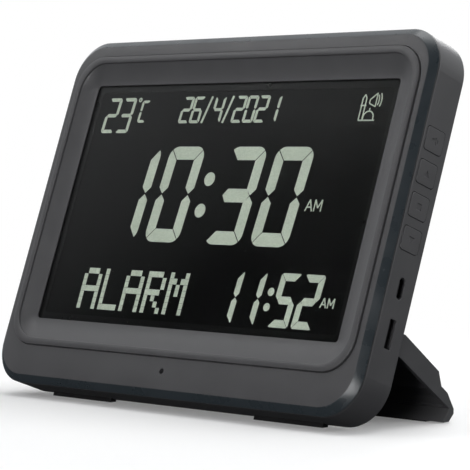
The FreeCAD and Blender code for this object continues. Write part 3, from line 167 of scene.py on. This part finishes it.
class Nodes:
    """A small helper that adds and links the shader nodes of one material."""

    def __init__(self, name: str) -> None:
        """Make an empty node material.

        Args:
            name: the material's name.
        """
        self.material = bpy.data.materials.new(name)
        self.material.use_nodes = True
        self.tree = self.material.node_tree
        self.tree.nodes.clear()
        self.out = self.add("ShaderNodeOutputMaterial")

    def add(self, kind: str, **values: object) -> bpy.types.Node:
        """Add a node and set its properties.

        Args:
            kind: the node's type name.
            values: properties of the node.

        Returns:
            The new node.
        """
        node = self.tree.nodes.new(kind)
        for key, value in values.items():
            setattr(node, key, value)
        return node

    def link(self, source: bpy.types.NodeSocket, target: bpy.types.NodeSocket) -> None:
        """Link an output socket to an input socket.

        Args:
            source: the output socket.
            target: the input socket.
        """
        self.tree.links.new(source, target)

    def noise(self, scale: float, detail: float = 2.0,
              stretch: tuple = (1.0, 1.0, 1.0)) -> bpy.types.NodeSocket:
        """Add noise in the object's own coordinates.

        Args:
            scale: noise cells per metre.
            detail: octaves of finer noise.
            stretch: scale along each axis.

        Returns:
            The noise node's factor output.
        """
        coords = self.add("ShaderNodeTexCoord")
        mapping = self.add("ShaderNodeMapping")
        mapping.inputs["Scale"].default_value = stretch
        texture = self.add("ShaderNodeTexNoise")
        texture.inputs["Scale"].default_value = scale
        texture.inputs["Detail"].default_value = detail
        self.link(coords.outputs["Object"], mapping.inputs["Vector"])
        self.link(mapping.outputs["Vector"], texture.inputs["Vector"])
        return texture.outputs["Fac"]

    def blend_colours(self, factor: bpy.types.NodeSocket, low: tuple, high: tuple) -> bpy.types.NodeSocket:
        """Add a two-colour ramp over a factor.

        Args:
            factor: the output that drives the ramp.
            low: colour up to the ramp's start.
            high: colour from the ramp's stop.

        Returns:
            The ramp's colour output.
        """
        ramp = self.add("ShaderNodeValToRGB")
        ramp.color_ramp.elements[0].position = RAMP_START
        ramp.color_ramp.elements[0].color = (*low, 1.0)
        ramp.color_ramp.elements[1].position = RAMP_STOP
        ramp.color_ramp.elements[1].color = (*high, 1.0)
        self.link(factor, ramp.inputs["Fac"])
        return ramp.outputs["Color"]

    def spread(self, factor: bpy.types.NodeSocket, low: float, high: float) -> bpy.types.NodeSocket:
        """Map a factor to a range of values.

        Args:
            factor: the output to map.
            low: value at the low end of the noise.
            high: value at its high end.

        Returns:
            The mapped output.
        """
        ranged = self.add("ShaderNodeMapRange")
        ranged.inputs["From Min"].default_value = NOISE_LOW
        ranged.inputs["From Max"].default_value = NOISE_HIGH
        ranged.inputs["To Min"].default_value = low
        ranged.inputs["To Max"].default_value = high
        self.link(factor, ranged.inputs["Value"])
        return ranged.outputs["Result"]

    def bump(self, factor: bpy.types.NodeSocket, distance: float,
             edge_radius: float = 0.0) -> bpy.types.NodeSocket:
        """Add a bump, over rounded edges where a radius is given.

        Args:
            factor: the height output.
            distance: the bump's height in metres.
            edge_radius: radius of the softened edges in metres.

        Returns:
            The bump's normal output.
        """
        node = self.add("ShaderNodeBump")
        node.inputs["Strength"].default_value = 1.0
        node.inputs["Distance"].default_value = distance
        self.link(factor, node.inputs["Height"])
        if edge_radius:
            edges = self.add("ShaderNodeBevel", samples=6)
            edges.inputs["Radius"].default_value = edge_radius
            self.link(edges.outputs["Normal"], node.inputs["Normal"])
        return node.outputs["Normal"]


def plastic(finish: PlasticFinish) -> bpy.types.Material:
    """Moulded plastic with a fine eroded grain, mottled colour and softened edges.

    Args:
        finish: the plastic's values.

    Returns:
        The material.
    """
    nodes = Nodes(finish.name)
    shader = nodes.add("ShaderNodeBsdfPrincipled")
    mottle = nodes.noise(90.0, 4.0)
    grain = nodes.noise(finish.grain_scale, 2.0)
    nodes.link(nodes.blend_colours(mottle, finish.colour, finish.mottle), shader.inputs["Base Color"])
    low, high = finish.roughness - finish.rough_spread, finish.roughness + finish.rough_spread
    rough = nodes.spread(mottle, low, high)
    nodes.link(rough, shader.inputs["Roughness"])
    nodes.link(nodes.bump(grain, finish.grain_height, finish.edge_radius), shader.inputs["Normal"])
    shader.inputs["Specular IOR Level"].default_value = finish.specular
    shader.inputs["Coat Weight"].default_value = finish.coat
    nodes.link(shader.outputs["BSDF"], nodes.out.inputs["Surface"])
    return nodes.material


def metal(finish: MetalFinish) -> bpy.types.Material:
    """Brushed metal, its fine lines running across the clock.

    Args:
        finish: the metal's values.

    Returns:
        The material.
    """
    nodes = Nodes(finish.name)
    shader = nodes.add("ShaderNodeBsdfPrincipled")
    brush = nodes.noise(finish.brush_scale, 3.0, (0.08, 1.0, 1.0))
    dark = tuple(c * 0.85 for c in finish.colour)
    nodes.link(nodes.blend_colours(brush, dark, finish.colour), shader.inputs["Base Color"])
    nodes.link(nodes.spread(brush, finish.roughness, finish.roughness + 0.12), shader.inputs["Roughness"])
    nodes.link(nodes.bump(brush, 0.000008, 0.0001), shader.inputs["Normal"])
    shader.inputs["Metallic"].default_value = 1.0
    nodes.link(shader.outputs["BSDF"], nodes.out.inputs["Surface"])
    return nodes.material


def window_pane() -> bpy.types.Material:
    """Smoked clear pane, lightly smeared, over the lit figures.

    Returns:
        The material.
    """
    nodes = Nodes("window_pane")
    shader = nodes.add("ShaderNodeBsdfPrincipled")
    smear = nodes.noise(35.0, 3.0, (1.0, 1.0, 0.6))
    nodes.link(nodes.blend_colours(smear, (0.88, 0.9, 0.89), (0.93, 0.95, 0.94)), shader.inputs["Base Color"])
    nodes.link(nodes.spread(smear, 0.0, 0.02), shader.inputs["Roughness"])
    shader.inputs["Transmission Weight"].default_value = 1.0
    shader.inputs["IOR"].default_value = 1.45
    nodes.link(shader.outputs["BSDF"], nodes.out.inputs["Surface"])
    return nodes.material


def display_film() -> bpy.types.Material:
    """Near-black front film of the display, with a trace of uneven glow.

    Returns:
        The material.
    """
    nodes = Nodes("display_film")
    shader = nodes.add("ShaderNodeBsdfPrincipled")
    cloud = nodes.noise(14.0, 3.0)
    nodes.link(nodes.blend_colours(cloud, (0.0006, 0.0006, 0.0007), (0.0014, 0.0014, 0.0015)),
               shader.inputs["Base Color"])
    shader.inputs["Specular IOR Level"].default_value = 0.12
    nodes.link(nodes.spread(cloud, 0.28, 0.38), shader.inputs["Roughness"])
    nodes.link(shader.outputs["BSDF"], nodes.out.inputs["Surface"])
    return nodes.material


def lit_segment() -> bpy.types.Material:
    """Pale lit figure with the faint slanted weave of the film over it.

    Returns:
        The material.
    """
    nodes = Nodes("lit_segment")
    shader = nodes.add("ShaderNodeBsdfPrincipled")
    weave = nodes.noise(900.0, 2.0, (1.0, 1.0, 2.4))
    colour = nodes.blend_colours(weave, (0.35, 0.395, 0.325), (0.42, 0.46, 0.39))
    nodes.link(colour, shader.inputs["Base Color"])
    nodes.link(colour, shader.inputs["Emission Color"])
    shader.inputs["Emission Strength"].default_value = 0.72
    nodes.link(nodes.spread(weave, 0.5, 0.6), shader.inputs["Roughness"])
    nodes.link(shader.outputs["BSDF"], nodes.out.inputs["Surface"])
    return nodes.material


def glass_sheet() -> bpy.types.Material:
    """Dark display glass.

    Returns:
        The material.
    """
    nodes = Nodes("display_glass")
    shader = nodes.add("ShaderNodeBsdfPrincipled")
    tint = nodes.noise(40.0, 2.0)
    nodes.link(nodes.blend_colours(tint, (0.01, 0.012, 0.012), (0.016, 0.018, 0.018)),
               shader.inputs["Base Color"])
    nodes.link(nodes.spread(tint, 0.05, 0.1), shader.inputs["Roughness"])
    nodes.link(shader.outputs["BSDF"], nodes.out.inputs["Surface"])
    return nodes.material


def milky_sheet() -> bpy.types.Material:
    """Milky plastic of the light guide, its sheets and the lamps.

    Returns:
        The material.
    """
    nodes = Nodes("milky_sheet")
    shader = nodes.add("ShaderNodeBsdfPrincipled")
    cloud = nodes.noise(220.0, 3.0)
    nodes.link(nodes.blend_colours(cloud, (0.74, 0.76, 0.77), (0.84, 0.85, 0.85)),
               shader.inputs["Base Color"])
    nodes.link(nodes.spread(cloud, 0.25, 0.4), shader.inputs["Roughness"])
    shader.inputs["Subsurface Weight"].default_value = 0.2
    nodes.link(shader.outputs["BSDF"], nodes.out.inputs["Surface"])
    return nodes.material


def board_lacquer() -> bpy.types.Material:
    """Green board lacquer over faint copper tracks.

    Returns:
        The material.
    """
    nodes = Nodes("board_lacquer")
    shader = nodes.add("ShaderNodeBsdfPrincipled")
    coords = nodes.add("ShaderNodeTexCoord")
    tracks = nodes.add("ShaderNodeTexBrick")
    tracks.inputs["Scale"].default_value = 260.0
    tracks.inputs["Mortar Size"].default_value = 0.06
    tracks.inputs["Color1"].default_value = (0.006, 0.06, 0.022, 1.0)
    tracks.inputs["Color2"].default_value = (0.008, 0.075, 0.028, 1.0)
    tracks.inputs["Mortar"].default_value = (0.03, 0.14, 0.05, 1.0)
    nodes.link(coords.outputs["Object"], tracks.inputs["Vector"])
    nodes.link(tracks.outputs["Color"], shader.inputs["Base Color"])
    nodes.link(nodes.spread(nodes.noise(300.0, 2.0), 0.25, 0.4), shader.inputs["Roughness"])
    nodes.link(nodes.bump(tracks.outputs["Fac"], 0.00002), shader.inputs["Normal"])
    nodes.link(shader.outputs["BSDF"], nodes.out.inputs["Surface"])
    return nodes.material


def floor_finish(tone: float, near: float, far: float) -> bpy.types.Material:
    """Plain matt floor that keeps the clock's shadow and fades to white round it.

    Args:
        tone: its grey value.
        near: distance from the clock where the fade begins, in metres.
        far: distance where it is plain white.

    Returns:
        The material.
    """
    nodes = Nodes("studio_floor")
    shader = nodes.add("ShaderNodeBsdfPrincipled")
    cloud = nodes.noise(3.0, 2.0)
    colour = nodes.blend_colours(cloud, (tone,) * 3, (tone + 0.01,) * 3)
    nodes.link(colour, shader.inputs["Base Color"])
    shader.inputs["Roughness"].default_value = 0.9
    shader.inputs["Specular IOR Level"].default_value = 0.1
    white = nodes.add("ShaderNodeEmission")
    white.inputs["Color"].default_value = (1.0, 1.0, 1.0, 1.0)
    white.inputs["Strength"].default_value = 1.0
    coords = nodes.add("ShaderNodeTexCoord")
    reach = nodes.add("ShaderNodeVectorMath", operation="LENGTH")
    fade = nodes.add("ShaderNodeMapRange", interpolation_type="SMOOTHSTEP")
    fade.inputs["From Min"].default_value = near
    fade.inputs["From Max"].default_value = far
    fade.inputs["To Min"].default_value = 0.15
    fade.inputs["To Max"].default_value = 1.0
    path = nodes.add("ShaderNodeLightPath")
    seen = nodes.add("ShaderNodeMath", operation="MULTIPLY")
    mix = nodes.add("ShaderNodeMixShader")
    dim = nodes.add("ShaderNodeBsdfDiffuse")
    dim.inputs["Color"].default_value = (0.07, 0.075, 0.08, 1.0)
    pale = nodes.add("ShaderNodeMixShader")
    nodes.link(coords.outputs["Object"], reach.inputs[0])
    nodes.link(reach.outputs["Value"], fade.inputs["Value"])
    nodes.link(fade.outputs["Result"], seen.inputs[0])
    nodes.link(path.outputs["Is Camera Ray"], seen.inputs[1])
    nodes.link(seen.outputs["Value"], mix.inputs["Fac"])
    nodes.link(path.outputs["Is Camera Ray"], pale.inputs["Fac"])
    nodes.link(dim.outputs["BSDF"], pale.inputs[1])
    nodes.link(shader.outputs["BSDF"], pale.inputs[2])
    nodes.link(pale.outputs["Shader"], mix.inputs[1])
    nodes.link(white.outputs["Emission"], mix.inputs[2])
    nodes.link(mix.outputs["Shader"], nodes.out.inputs["Surface"])
    return nodes.material


def upright_to_row() -> Matrix:
    """The matrix from the upright clock, in millimetres, to the row frame in metres.

    Returns:
        A matrix that leans, places and scales a point.
    """
    turn = Matrix.Rotation(math.radians(-BODY.lean), 4, "X")
    low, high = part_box("front_bezel")
    front_edge = turn @ Vector((0.0, 0.0, BODY.chamfer_width - BODY.half_h))
    top_edge = turn @ Vector((0.0, BODY.chamfer_depth, BODY.half_h))
    shift_x = (low[0] + high[0]) / 2
    shift_y = low[1] - front_edge.y * MM
    shift_z = high[2] - top_edge.z * MM
    log.info("upright frame shifted by %.4f %.4f %.4f", shift_x, shift_y, shift_z)
    return Matrix.Translation((shift_x, shift_y, shift_z)) @ Matrix.Scale(MM, 4) @ turn


class Bezel:
    """The front frame: chamfer, flat border, grooved rim, hollow slope and window lip."""

    corner_steps = 14
    slope_steps = 14
    # Rings whose quads take the chamfer's painted-shade plastic.
    chamfer_rings = (3, 4, 5)
    soft = 0.22
    groove = 0.4
    groove_depth = 0.75
    seat = 4.0

    def __init__(self, sizes: BodySizes, place: Matrix) -> None:
        """Keep the sizes.

        Args:
            sizes: the body's sizes.
            place: matrix from the upright clock to the row frame.
        """
        self.s = sizes
        self.place = place
        self.verts = []
        self.faces = []
        self.finishes = []

    def ring(self, half_w: float, half_h: float, corner: float, y: float, rise: float) -> int:
        """Add one rounded-rectangle ring of points.

        Args:
            half_w: half width in millimetres.
            half_h: half height in millimetres.
            corner: corner radius.
            y: depth behind the face.
            rise: height of its middle.

        Returns:
            Index of the ring's first point.
        """
        first = len(self.verts)
        n = self.corner_steps
        for quarter in range(4):
            sx, sz = ((1, 1), (-1, 1), (-1, -1), (1, -1))[quarter]
            cx = sx * (half_w - corner)
            cz = sz * (half_h - corner) + rise
            for step in range(n + 1):
                a = math.pi / 2 * (quarter + step / n)
                point = Vector((cx + corner * math.cos(a), y, cz + corner * math.sin(a)))
                self.verts.append(self.place @ point)
        return first

    def bridge(self, first: int, second: int, finish: int = 0) -> None:
        """Join two rings with quads.

        Args:
            first: start of one ring.
            second: start of the next ring inward.
            finish: index of the quads' material.
        """
        n = 4 * (self.corner_steps + 1)
        for i in range(n):
            j = (i + 1) % n
            self.faces.append((first + i, first + j, second + j, second + i))
            self.finishes.append(finish)

    def profile(self) -> list:
        """The sections of the frame, from its back edge over the front to the window's lip.

        Returns:
            A list of (half width, half height, corner, depth, rise).
        """
        s = self.s
        flat_w = s.half_w - s.chamfer_width
        flat_h = s.half_h - s.chamfer_width
        inner = s.half_w - s.wall - 1.0
        soft = self.soft
        rows = [(inner, s.half_h - s.wall - 1.0, s.corner - s.wall - 1.0, s.back, 0.0),
                (s.half_w - 0.1, s.half_h - 0.1, s.corner - 0.1, s.back, 0.0),
                (s.half_w, s.half_h, s.corner, s.back - 0.1, 0.0),
                (s.half_w, s.half_h, s.corner, s.chamfer_depth, 0.0),
                (s.half_w - soft, s.half_h - soft, s.corner - soft, s.chamfer_depth - soft * 0.9, 0.0),
                (flat_w + soft, flat_h + soft, s.flat_corner + soft, soft * 0.8, 0.0),
                (flat_w, flat_h, s.flat_corner, soft * 0.25, 0.0),
                (flat_w - soft, flat_h - soft, s.flat_corner - soft, 0.0, 0.0)]
        groove, deep = self.groove, self.groove_depth
        w, h, c, r = s.rim_half_w, s.rim_half_h, s.rim_corner, s.rim_rise
        for out, y in ((groove, 0.0), (groove - 0.05, deep), (0.05, deep), (0.0, 0.0),
                       (0.0, -s.rim_height + 0.3), (-0.09, -s.rim_height + 0.09), (-0.3, -s.rim_height)):
            rows.append((w + out, h + out, c + out, y, r))
        iw, ih, ic = w - s.rim_width, h - s.rim_width, c - s.rim_width / 2
        for out, y in ((0.3, -s.rim_height), (0.09, -s.rim_height + 0.09), (0.0, -s.rim_height + 0.3),
                       (0.0, s.rim_step - s.rim_height)):
            rows.append((iw + out, ih + out, ic + out, y, r))
        for i in range(1, self.slope_steps + 1):
            t = i / self.slope_steps
            start = s.rim_step - s.rim_height
            y = start + (s.back - start) * (t + s.slope_bow * 4 * t * (1 - t))
            corner = ic + (s.window_corner - ic) * t
            rows.append((iw - s.slope_side * t, ih - s.slope_end * t, corner, y, r))
        ww, wh, wc = iw - s.slope_side, ih - s.slope_end, s.window_corner
        rows.append((ww, wh, wc, s.back + s.lip - 0.02, r))
        rows.append((ww + self.seat, wh + self.seat, wc, s.back + s.lip - 0.02, r))
        rows.append((ww + self.seat, wh + self.seat, wc, s.back, r))
        return rows

    def as_piece(self, name: str) -> bpy.types.Object:
        """Turn the rings and quads so far into an object.

        Args:
            name: the object's name.

        Returns:
            The object, smooth but for its sharp edges.
        """
        mesh = bpy.data.meshes.new(name)
        mesh.from_pydata([tuple(v) for v in self.verts], [], self.faces)
        mesh.polygons.foreach_set("material_index", self.finishes)
        work = bmesh.new()
        work.from_mesh(mesh)
        bmesh.ops.remove_doubles(work, verts=work.verts, dist=1e-7)
        bmesh.ops.recalc_face_normals(work, faces=work.faces)
        work.to_mesh(mesh)
        work.free()
        for polygon in mesh.polygons:
            polygon.use_smooth = True
        mesh.set_sharp_from_angle(angle=SHARP_ANGLE)
        piece = bpy.data.objects.new(name, mesh)
        bpy.context.scene.collection.objects.link(piece)
        return piece

    def drill(self, piece: bpy.types.Object) -> None:
        """Bore the sensor's hole through the frame.

        Args:
            piece: the frame's object.
        """
        s = self.s
        cutter_mesh = bpy.data.meshes.new("drill")
        work = bmesh.new()
        bmesh.ops.create_cone(work, cap_ends=True, segments=32, radius1=s.sensor_radius * MM,
                              radius2=s.sensor_radius * MM, depth=8 * MM)
        work.to_mesh(cutter_mesh)
        work.free()
        cutter_mesh.transform(Matrix.Rotation(math.radians(90 - s.lean), 4, "X"))
        middle = self.place @ Vector((0.0, 1.0, s.sensor_z))
        cutter_mesh.transform(Matrix.Translation(middle))
        cutter = bpy.data.objects.new("drill", cutter_mesh)
        bpy.context.scene.collection.objects.link(cutter)
        bore = piece.modifiers.new("bore", "BOOLEAN")
        bore.operation = "DIFFERENCE"
        bore.solver = "EXACT"
        bore.object = cutter
        graph = bpy.context.evaluated_depsgraph_get()
        mesh = bpy.data.meshes.new_from_object(piece.evaluated_get(graph))
        piece.modifiers.clear()
        mesh.name = piece.data.name
        piece.data = mesh
        mesh.set_sharp_from_angle(angle=SHARP_ANGLE)
        bpy.data.objects.remove(cutter)

    def build(self, materials: list) -> bpy.types.Object:
        """Make the frame's mesh, with the sensor's hole.

        Args:
            materials: the moulded plastic and the chamfer's darker copy of it, which paints shade on the
                chamfer.

        Returns:
            The finished object.
        """
        starts = [self.ring(w, h, max(c, 0.4), y, r) for w, h, c, y, r in self.profile()]
        for index, (first, second) in enumerate(zip(starts, starts[1:])):
            # The chamfer's quads take the second material, a darker copy of the plastic that paints shade on
            # the chamfer.
            self.bridge(first, second, 1 if index in self.chamfer_rings else 0)
        self.bridge(starts[-1], starts[0])
        piece = self.as_piece("bezel_shell")
        for material in materials:
            piece.data.materials.append(material)
        self.drill(piece)
        log.info("bezel: %d faces", len(piece.data.polygons))
        return piece


@dataclass
class Display:
    """The window with its printed border, the glass, films and lit figures, in millimetres."""

    place: Matrix
    border_front: float = 4.56
    border_back: float = 4.68
    border_reach: float = 1.7
    border_show: float = 3.3

    def border(self) -> bpy.types.Object:
        """The black border printed behind the pane, over the display's edges and ribbon.

        Returns:
            The finished object.
        """
        s = BODY
        half_w = s.rim_half_w - s.rim_width - s.slope_side
        half_h = s.rim_half_h - s.rim_width - s.slope_end
        far = self.border_reach
        near = -self.border_show
        loops = Bezel(s, self.place)
        rings = [loops.ring(half_w + out, half_h + out, s.window_corner, y, s.rim_rise)
                 for out, y in ((far, self.border_front), (near, self.border_front),
                                (near, self.border_back), (far, self.border_back))]
        for first, second in zip(rings, rings[1:] + rings[:1]):
            loops.bridge(first, second)
        piece = loops.as_piece("window_border")
        piece.data.materials.append(plastic(MASK))
        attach(piece, "clock_body")
        log.info("window border: %d faces", len(piece.data.polygons))
        return piece

    def finish(self) -> None:
        """Give the display's nodes their finishes."""
        self.border()
        dress(window_pane(), "display_window")
        dress(display_film(), "front_polariser", "rear_polariser")
        dress(glass_sheet(), "lcd_front_glass", "lcd_rear_glass")
        dress(lit_segment(), "main_time_segments", "date_segments", "temperature_segments",
              "alarm_time_segments", "message_dots", "period_marks", "mosque_symbol")
        dress(milky_sheet(), "diffuser_sheet", "light_guide", "reflector_sheet", "backlight_leds")
        dress(plastic(TRAY), "lcd_frame")
        dress(plastic(RIBBON), "display_ribbon")
        log.info("display finished")


@dataclass
class Case:
    """Shells, buttons, stand, feet and the fasteners that hold them."""

    place: Matrix
    sizes: BodySizes = BODY

    def finish(self) -> None:
        """Build the front frame and finish the case's nodes."""
        shell = plastic(CASE)
        # The second material is the darker copy of the plastic that paints shade on the chamfer.
        bezel = Bezel(self.sizes, self.place).build([shell, plastic(CHAMFER_PAINTED_SHADE)])
        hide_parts("front_bezel")
        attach(bezel, "clock_body")
        dress(shell, "rear_housing", "battery_door", "stand")
        dress(plastic(BUTTONS), "sound_button", "up_button", "set_button", "down_button")
        dress(plastic(RUBBER), "body_feet", "stand_feet")
        dress(metal(STEEL), "case_screws", "frame_screws", "board_screws", "speaker_screws", "door_screw",
              "hinge_pins")
        log.info("case finished")


class Electronics:
    """The board, its parts, the sockets, the speaker and the battery."""

    def finish(self) -> None:
        """Give the inner nodes their finishes."""
        dress(board_lacquer(), "main_board", "backlight_strip")
        dress(plastic(CHIPS), "processor_chip", "memory_chip", "amplifier_chip", "side_switches",
              "temperature_sensor")
        dress(metal(BRIGHT), "crystal_can", "capacitors")
        dress(metal(DARK_METAL), "usb_socket", "card_socket")
        dress(plastic(CREAM), "lead_sockets", "sound_plunger", "up_plunger", "set_plunger", "down_plunger")
        dress(plastic(LEADS), "speaker_leads", "battery_leads")
        dress(metal(DARK_METAL), "speaker_basket", "speaker_magnet")
        dress(plastic(CONE), "speaker_cone")
        dress(plastic(FOAM), "speaker_gasket", "battery_foam")
        dress(plastic(WRAP), "battery_pack")
        log.info("electronics finished")


def repeat_group(name: str) -> bpy.types.NodeTree:
    """A node group that repeats one small block along a line.

    Args:
        name: the group's name.

    Returns:
        The group, with inputs for its count, step, block size and material.
    """
    group = bpy.data.node_groups.new(name, "GeometryNodeTree")
    face = group.interface
    face.new_socket("Geometry", in_out="OUTPUT", socket_type="NodeSocketGeometry")
    face.new_socket("Count", in_out="INPUT", socket_type="NodeSocketInt")
    face.new_socket("Start", in_out="INPUT", socket_type="NodeSocketVector")
    face.new_socket("Step", in_out="INPUT", socket_type="NodeSocketVector")
    face.new_socket("Block", in_out="INPUT", socket_type="NodeSocketVector")
    face.new_socket("Material", in_out="INPUT", socket_type="NodeSocketMaterial")
    add = group.nodes.new
    link = group.links.new
    given = add("NodeGroupInput")
    line = add("GeometryNodeMeshLine")
    cube = add("GeometryNodeMeshCube")
    copies = add("GeometryNodeInstanceOnPoints")
    real = add("GeometryNodeRealizeInstances")
    paint = add("GeometryNodeSetMaterial")
    out = add("NodeGroupOutput")
    link(given.outputs["Count"], line.inputs["Count"])
    link(given.outputs["Start"], line.inputs["Start Location"])
    link(given.outputs["Step"], line.inputs["Offset"])
    link(given.outputs["Block"], cube.inputs["Size"])
    link(line.outputs["Mesh"], copies.inputs["Points"])
    link(cube.outputs["Mesh"], copies.inputs["Instance"])
    link(copies.outputs["Instances"], real.inputs["Geometry"])
    link(real.outputs["Geometry"], paint.inputs["Geometry"])
    link(given.outputs["Material"], paint.inputs["Material"])
    link(paint.outputs["Geometry"], out.inputs["Geometry"])
    return group


@dataclass(frozen=True)
class BlockRow:
    """One row of small blocks in the upright clock, in millimetres."""

    name: str
    count: int
    start: tuple
    step: tuple
    block: tuple
    slot: Slot


def block_row(row: BlockRow, group: bpy.types.NodeTree, material: bpy.types.Material,
              place: Matrix) -> bpy.types.Object:
    """Build one row of repeated blocks as a plain mesh.

    Args:
        row: the row's sizes.
        group: the repeating node group.
        material: the blocks' material.
        place: matrix from the upright clock to the row frame.

    Returns:
        The finished object.
    """
    holder = bpy.data.objects.new(row.name + "_maker", bpy.data.meshes.new(row.name + "_seed"))
    bpy.context.scene.collection.objects.link(holder)
    modifier = holder.modifiers.new("repeat", "NODES")
    modifier.node_group = group
    values = {"Count": row.count, "Start": row.start, "Step": row.step, "Block": row.block,
              "Material": material}
    for item in group.interface.items_tree:
        if item.in_out == "INPUT":
            modifier[item.identifier] = values[item.name]
    holder.update_tag()
    graph = bpy.context.evaluated_depsgraph_get()
    mesh = bpy.data.meshes.new_from_object(holder.evaluated_get(graph))
    bpy.data.objects.remove(holder)
    mesh.name = row.name
    mesh.transform(place)
    piece = bpy.data.objects.new(row.name, mesh)
    bpy.context.scene.collection.objects.link(piece)
    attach(piece, "clock_body")
    log.info("%s: %d blocks", row.name, row.count)
    return piece


def small_blocks(place: Matrix) -> None:
    """The charging tongue's contacts and the rows of small board parts.

    Args:
        place: matrix from the upright clock to the row frame.
    """
    group = repeat_group("row_of_blocks")
    gold = metal(GOLD)
    resin = plastic(PlasticFinish("resistor_body", (0.02, 0.02, 0.022), (0.04, 0.04, 0.042)))
    rows = [
        (BlockRow("charging_contacts", 8, (110.6, 11.2, -29.0), (0.0, 0.0, 0.77), (3.2, 0.06, 0.4),
                  Slot.METAL), gold),
        (BlockRow("board_resistors", 9, (40.0, 15.0, -52.0), (4.4, 0.0, 0.0), (2.0, 0.5, 1.2), Slot.BOARD),
         resin),
        (BlockRow("board_filters", 7, (-46.0, 15.05, -40.0), (0.0, 0.0, 5.2), (1.2, 0.6, 2.0), Slot.BOARD),
         resin),
    ]
    for row, material in rows:
        block_row(row, group, material, place)


def dress(material: bpy.types.Material, *names: str) -> None:
    """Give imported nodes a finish.

    Args:
        material: the finish.
        names: the nodes' names.
    """
    for name in names:
        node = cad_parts[name]
        node.data.materials.clear()
        node.data.materials.append(material)


@dataclass(frozen=True)
class Lamp:
    """One soft area light, in metres and watts."""

    name: str
    place: tuple
    target: tuple
    size: tuple
    power: float


LAMPS = (
    Lamp("key_light", (0.4, -1.55, 0.12), (0.0, 0.0, 0.1), (0.8, 0.4), 20.5),
    Lamp("left_light", (-1.05, -0.85, 1.15), (0.0, 0.0, 0.12), (0.4, 0.3), 2.6),
    Lamp("side_light", (1.5, 0.6, 0.7), (0.0, 0.0, 0.08), (0.8, 0.8), 8.2),
    Lamp("top_light", (0.0, 0.45, 1.55), (0.0, 0.0, 0.0), (1.4, 1.2), 17.0),
    Lamp("back_light", (-0.9, 1.5, 0.9), (0.0, 0.0, 0.08), (0.9, 0.9), 10.0),
)


class Studio:
    """Floor, background, lights and the photograph's camera."""

    def floor(self) -> None:
        """Lay the plain pale floor."""
        mesh = bpy.data.meshes.new("floor")
        reach = 6.0
        corners = [(x * reach, y * reach, 0.0) for x, y in ((-1, -1), (1, -1), (1, 1), (-1, 1))]
        mesh.from_pydata(corners, [], [(0, 1, 2, 3)])
        floor = bpy.data.objects.new("floor", mesh)
        bpy.context.scene.collection.objects.link(floor)
        mesh.materials.append(floor_finish(0.95, 0.13, 0.45))

    def background(self) -> None:
        """White where the camera looks, and a graded studio in what it lights and reflects."""
        world = bpy.data.worlds.new("studio")
        bpy.context.scene.world = world
        world.use_nodes = True
        tree = world.node_tree
        tree.nodes.clear()
        add = tree.nodes.new
        link = tree.links.new
        out = add("ShaderNodeOutputWorld")
        seen = add("ShaderNodeBackground")
        seen.inputs["Color"].default_value = (1.0, 1.0, 1.0, 1.0)
        seen.inputs["Strength"].default_value = 1.0
        light = add("ShaderNodeBackground")
        light.inputs["Color"].default_value = (0.96, 0.98, 1.0, 1.0)
        coords = add("ShaderNodeTexCoord")
        along = add("ShaderNodeVectorMath")
        along.operation = "DOT_PRODUCT"
        along.inputs[1].default_value = (-0.5, 0.75, 0.43)
        grade = add("ShaderNodeMapRange")
        grade.inputs["From Min"].default_value = 0.1
        grade.inputs["From Max"].default_value = 0.5
        grade.inputs["To Min"].default_value = 0.02
        grade.inputs["To Max"].default_value = 1.0
        path = add("ShaderNodeLightPath")
        glossy = add("ShaderNodeMix")
        glossy.inputs["A"].default_value = 0.35
        mix = add("ShaderNodeMixShader")
        link(coords.outputs["Generated"], along.inputs[0])
        link(along.outputs["Value"], grade.inputs["Value"])
        link(path.outputs["Is Glossy Ray"], glossy.inputs["Factor"])
        link(grade.outputs["Result"], glossy.inputs["B"])
        link(glossy.outputs["Result"], light.inputs["Strength"])
        link(path.outputs["Is Camera Ray"], mix.inputs["Fac"])
        link(light.outputs["Background"], mix.inputs[1])
        link(seen.outputs["Background"], mix.inputs[2])
        link(mix.outputs["Shader"], out.inputs["Surface"])

    def lights(self) -> None:
        """Hang the soft area lights."""
        for lamp in LAMPS:
            data = bpy.data.lights.new(lamp.name, "AREA")
            data.shape = "RECTANGLE"
            data.size, data.size_y = lamp.size
            data.energy = lamp.power
            item = bpy.data.objects.new(lamp.name, data)
            item.location = lamp.place
            away = Vector(lamp.place) - Vector(lamp.target)
            item.rotation_euler = away.to_track_quat("Z", "Y").to_euler()
            bpy.context.scene.collection.objects.link(item)

    def camera(self) -> None:
        """Set the camera where the photograph was taken from."""
        data = bpy.data.cameras.new("camera")
        data.lens = CAMERA.lens
        data.sensor_width = CAMERA.sensor
        data.sensor_fit = "HORIZONTAL"
        data.clip_start = 0.01
        item = bpy.data.objects.new("camera", data)
        item.location = Vector(CAMERA.place) * MM
        item.rotation_euler = Vector(CAMERA.look).to_track_quat("-Z", "Y").to_euler()
        bpy.context.scene.collection.objects.link(item)
        bpy.context.scene.camera = item

    def build(self) -> None:
        """Build the whole studio."""
        self.floor()
        self.background()
        self.lights()
        self.camera()
        bpy.context.scene.view_settings.view_transform = "Standard"
        log.info("studio built")


def main() -> None:
    """Finish the clock and build its studio."""
    logging.basicConfig(level=logging.INFO)
    place = upright_to_row()
    Case(place).finish()
    Display(place).finish()
    Electronics().finish()
    small_blocks(place)
    Studio().build()


if __name__ == "__main__":
    main()
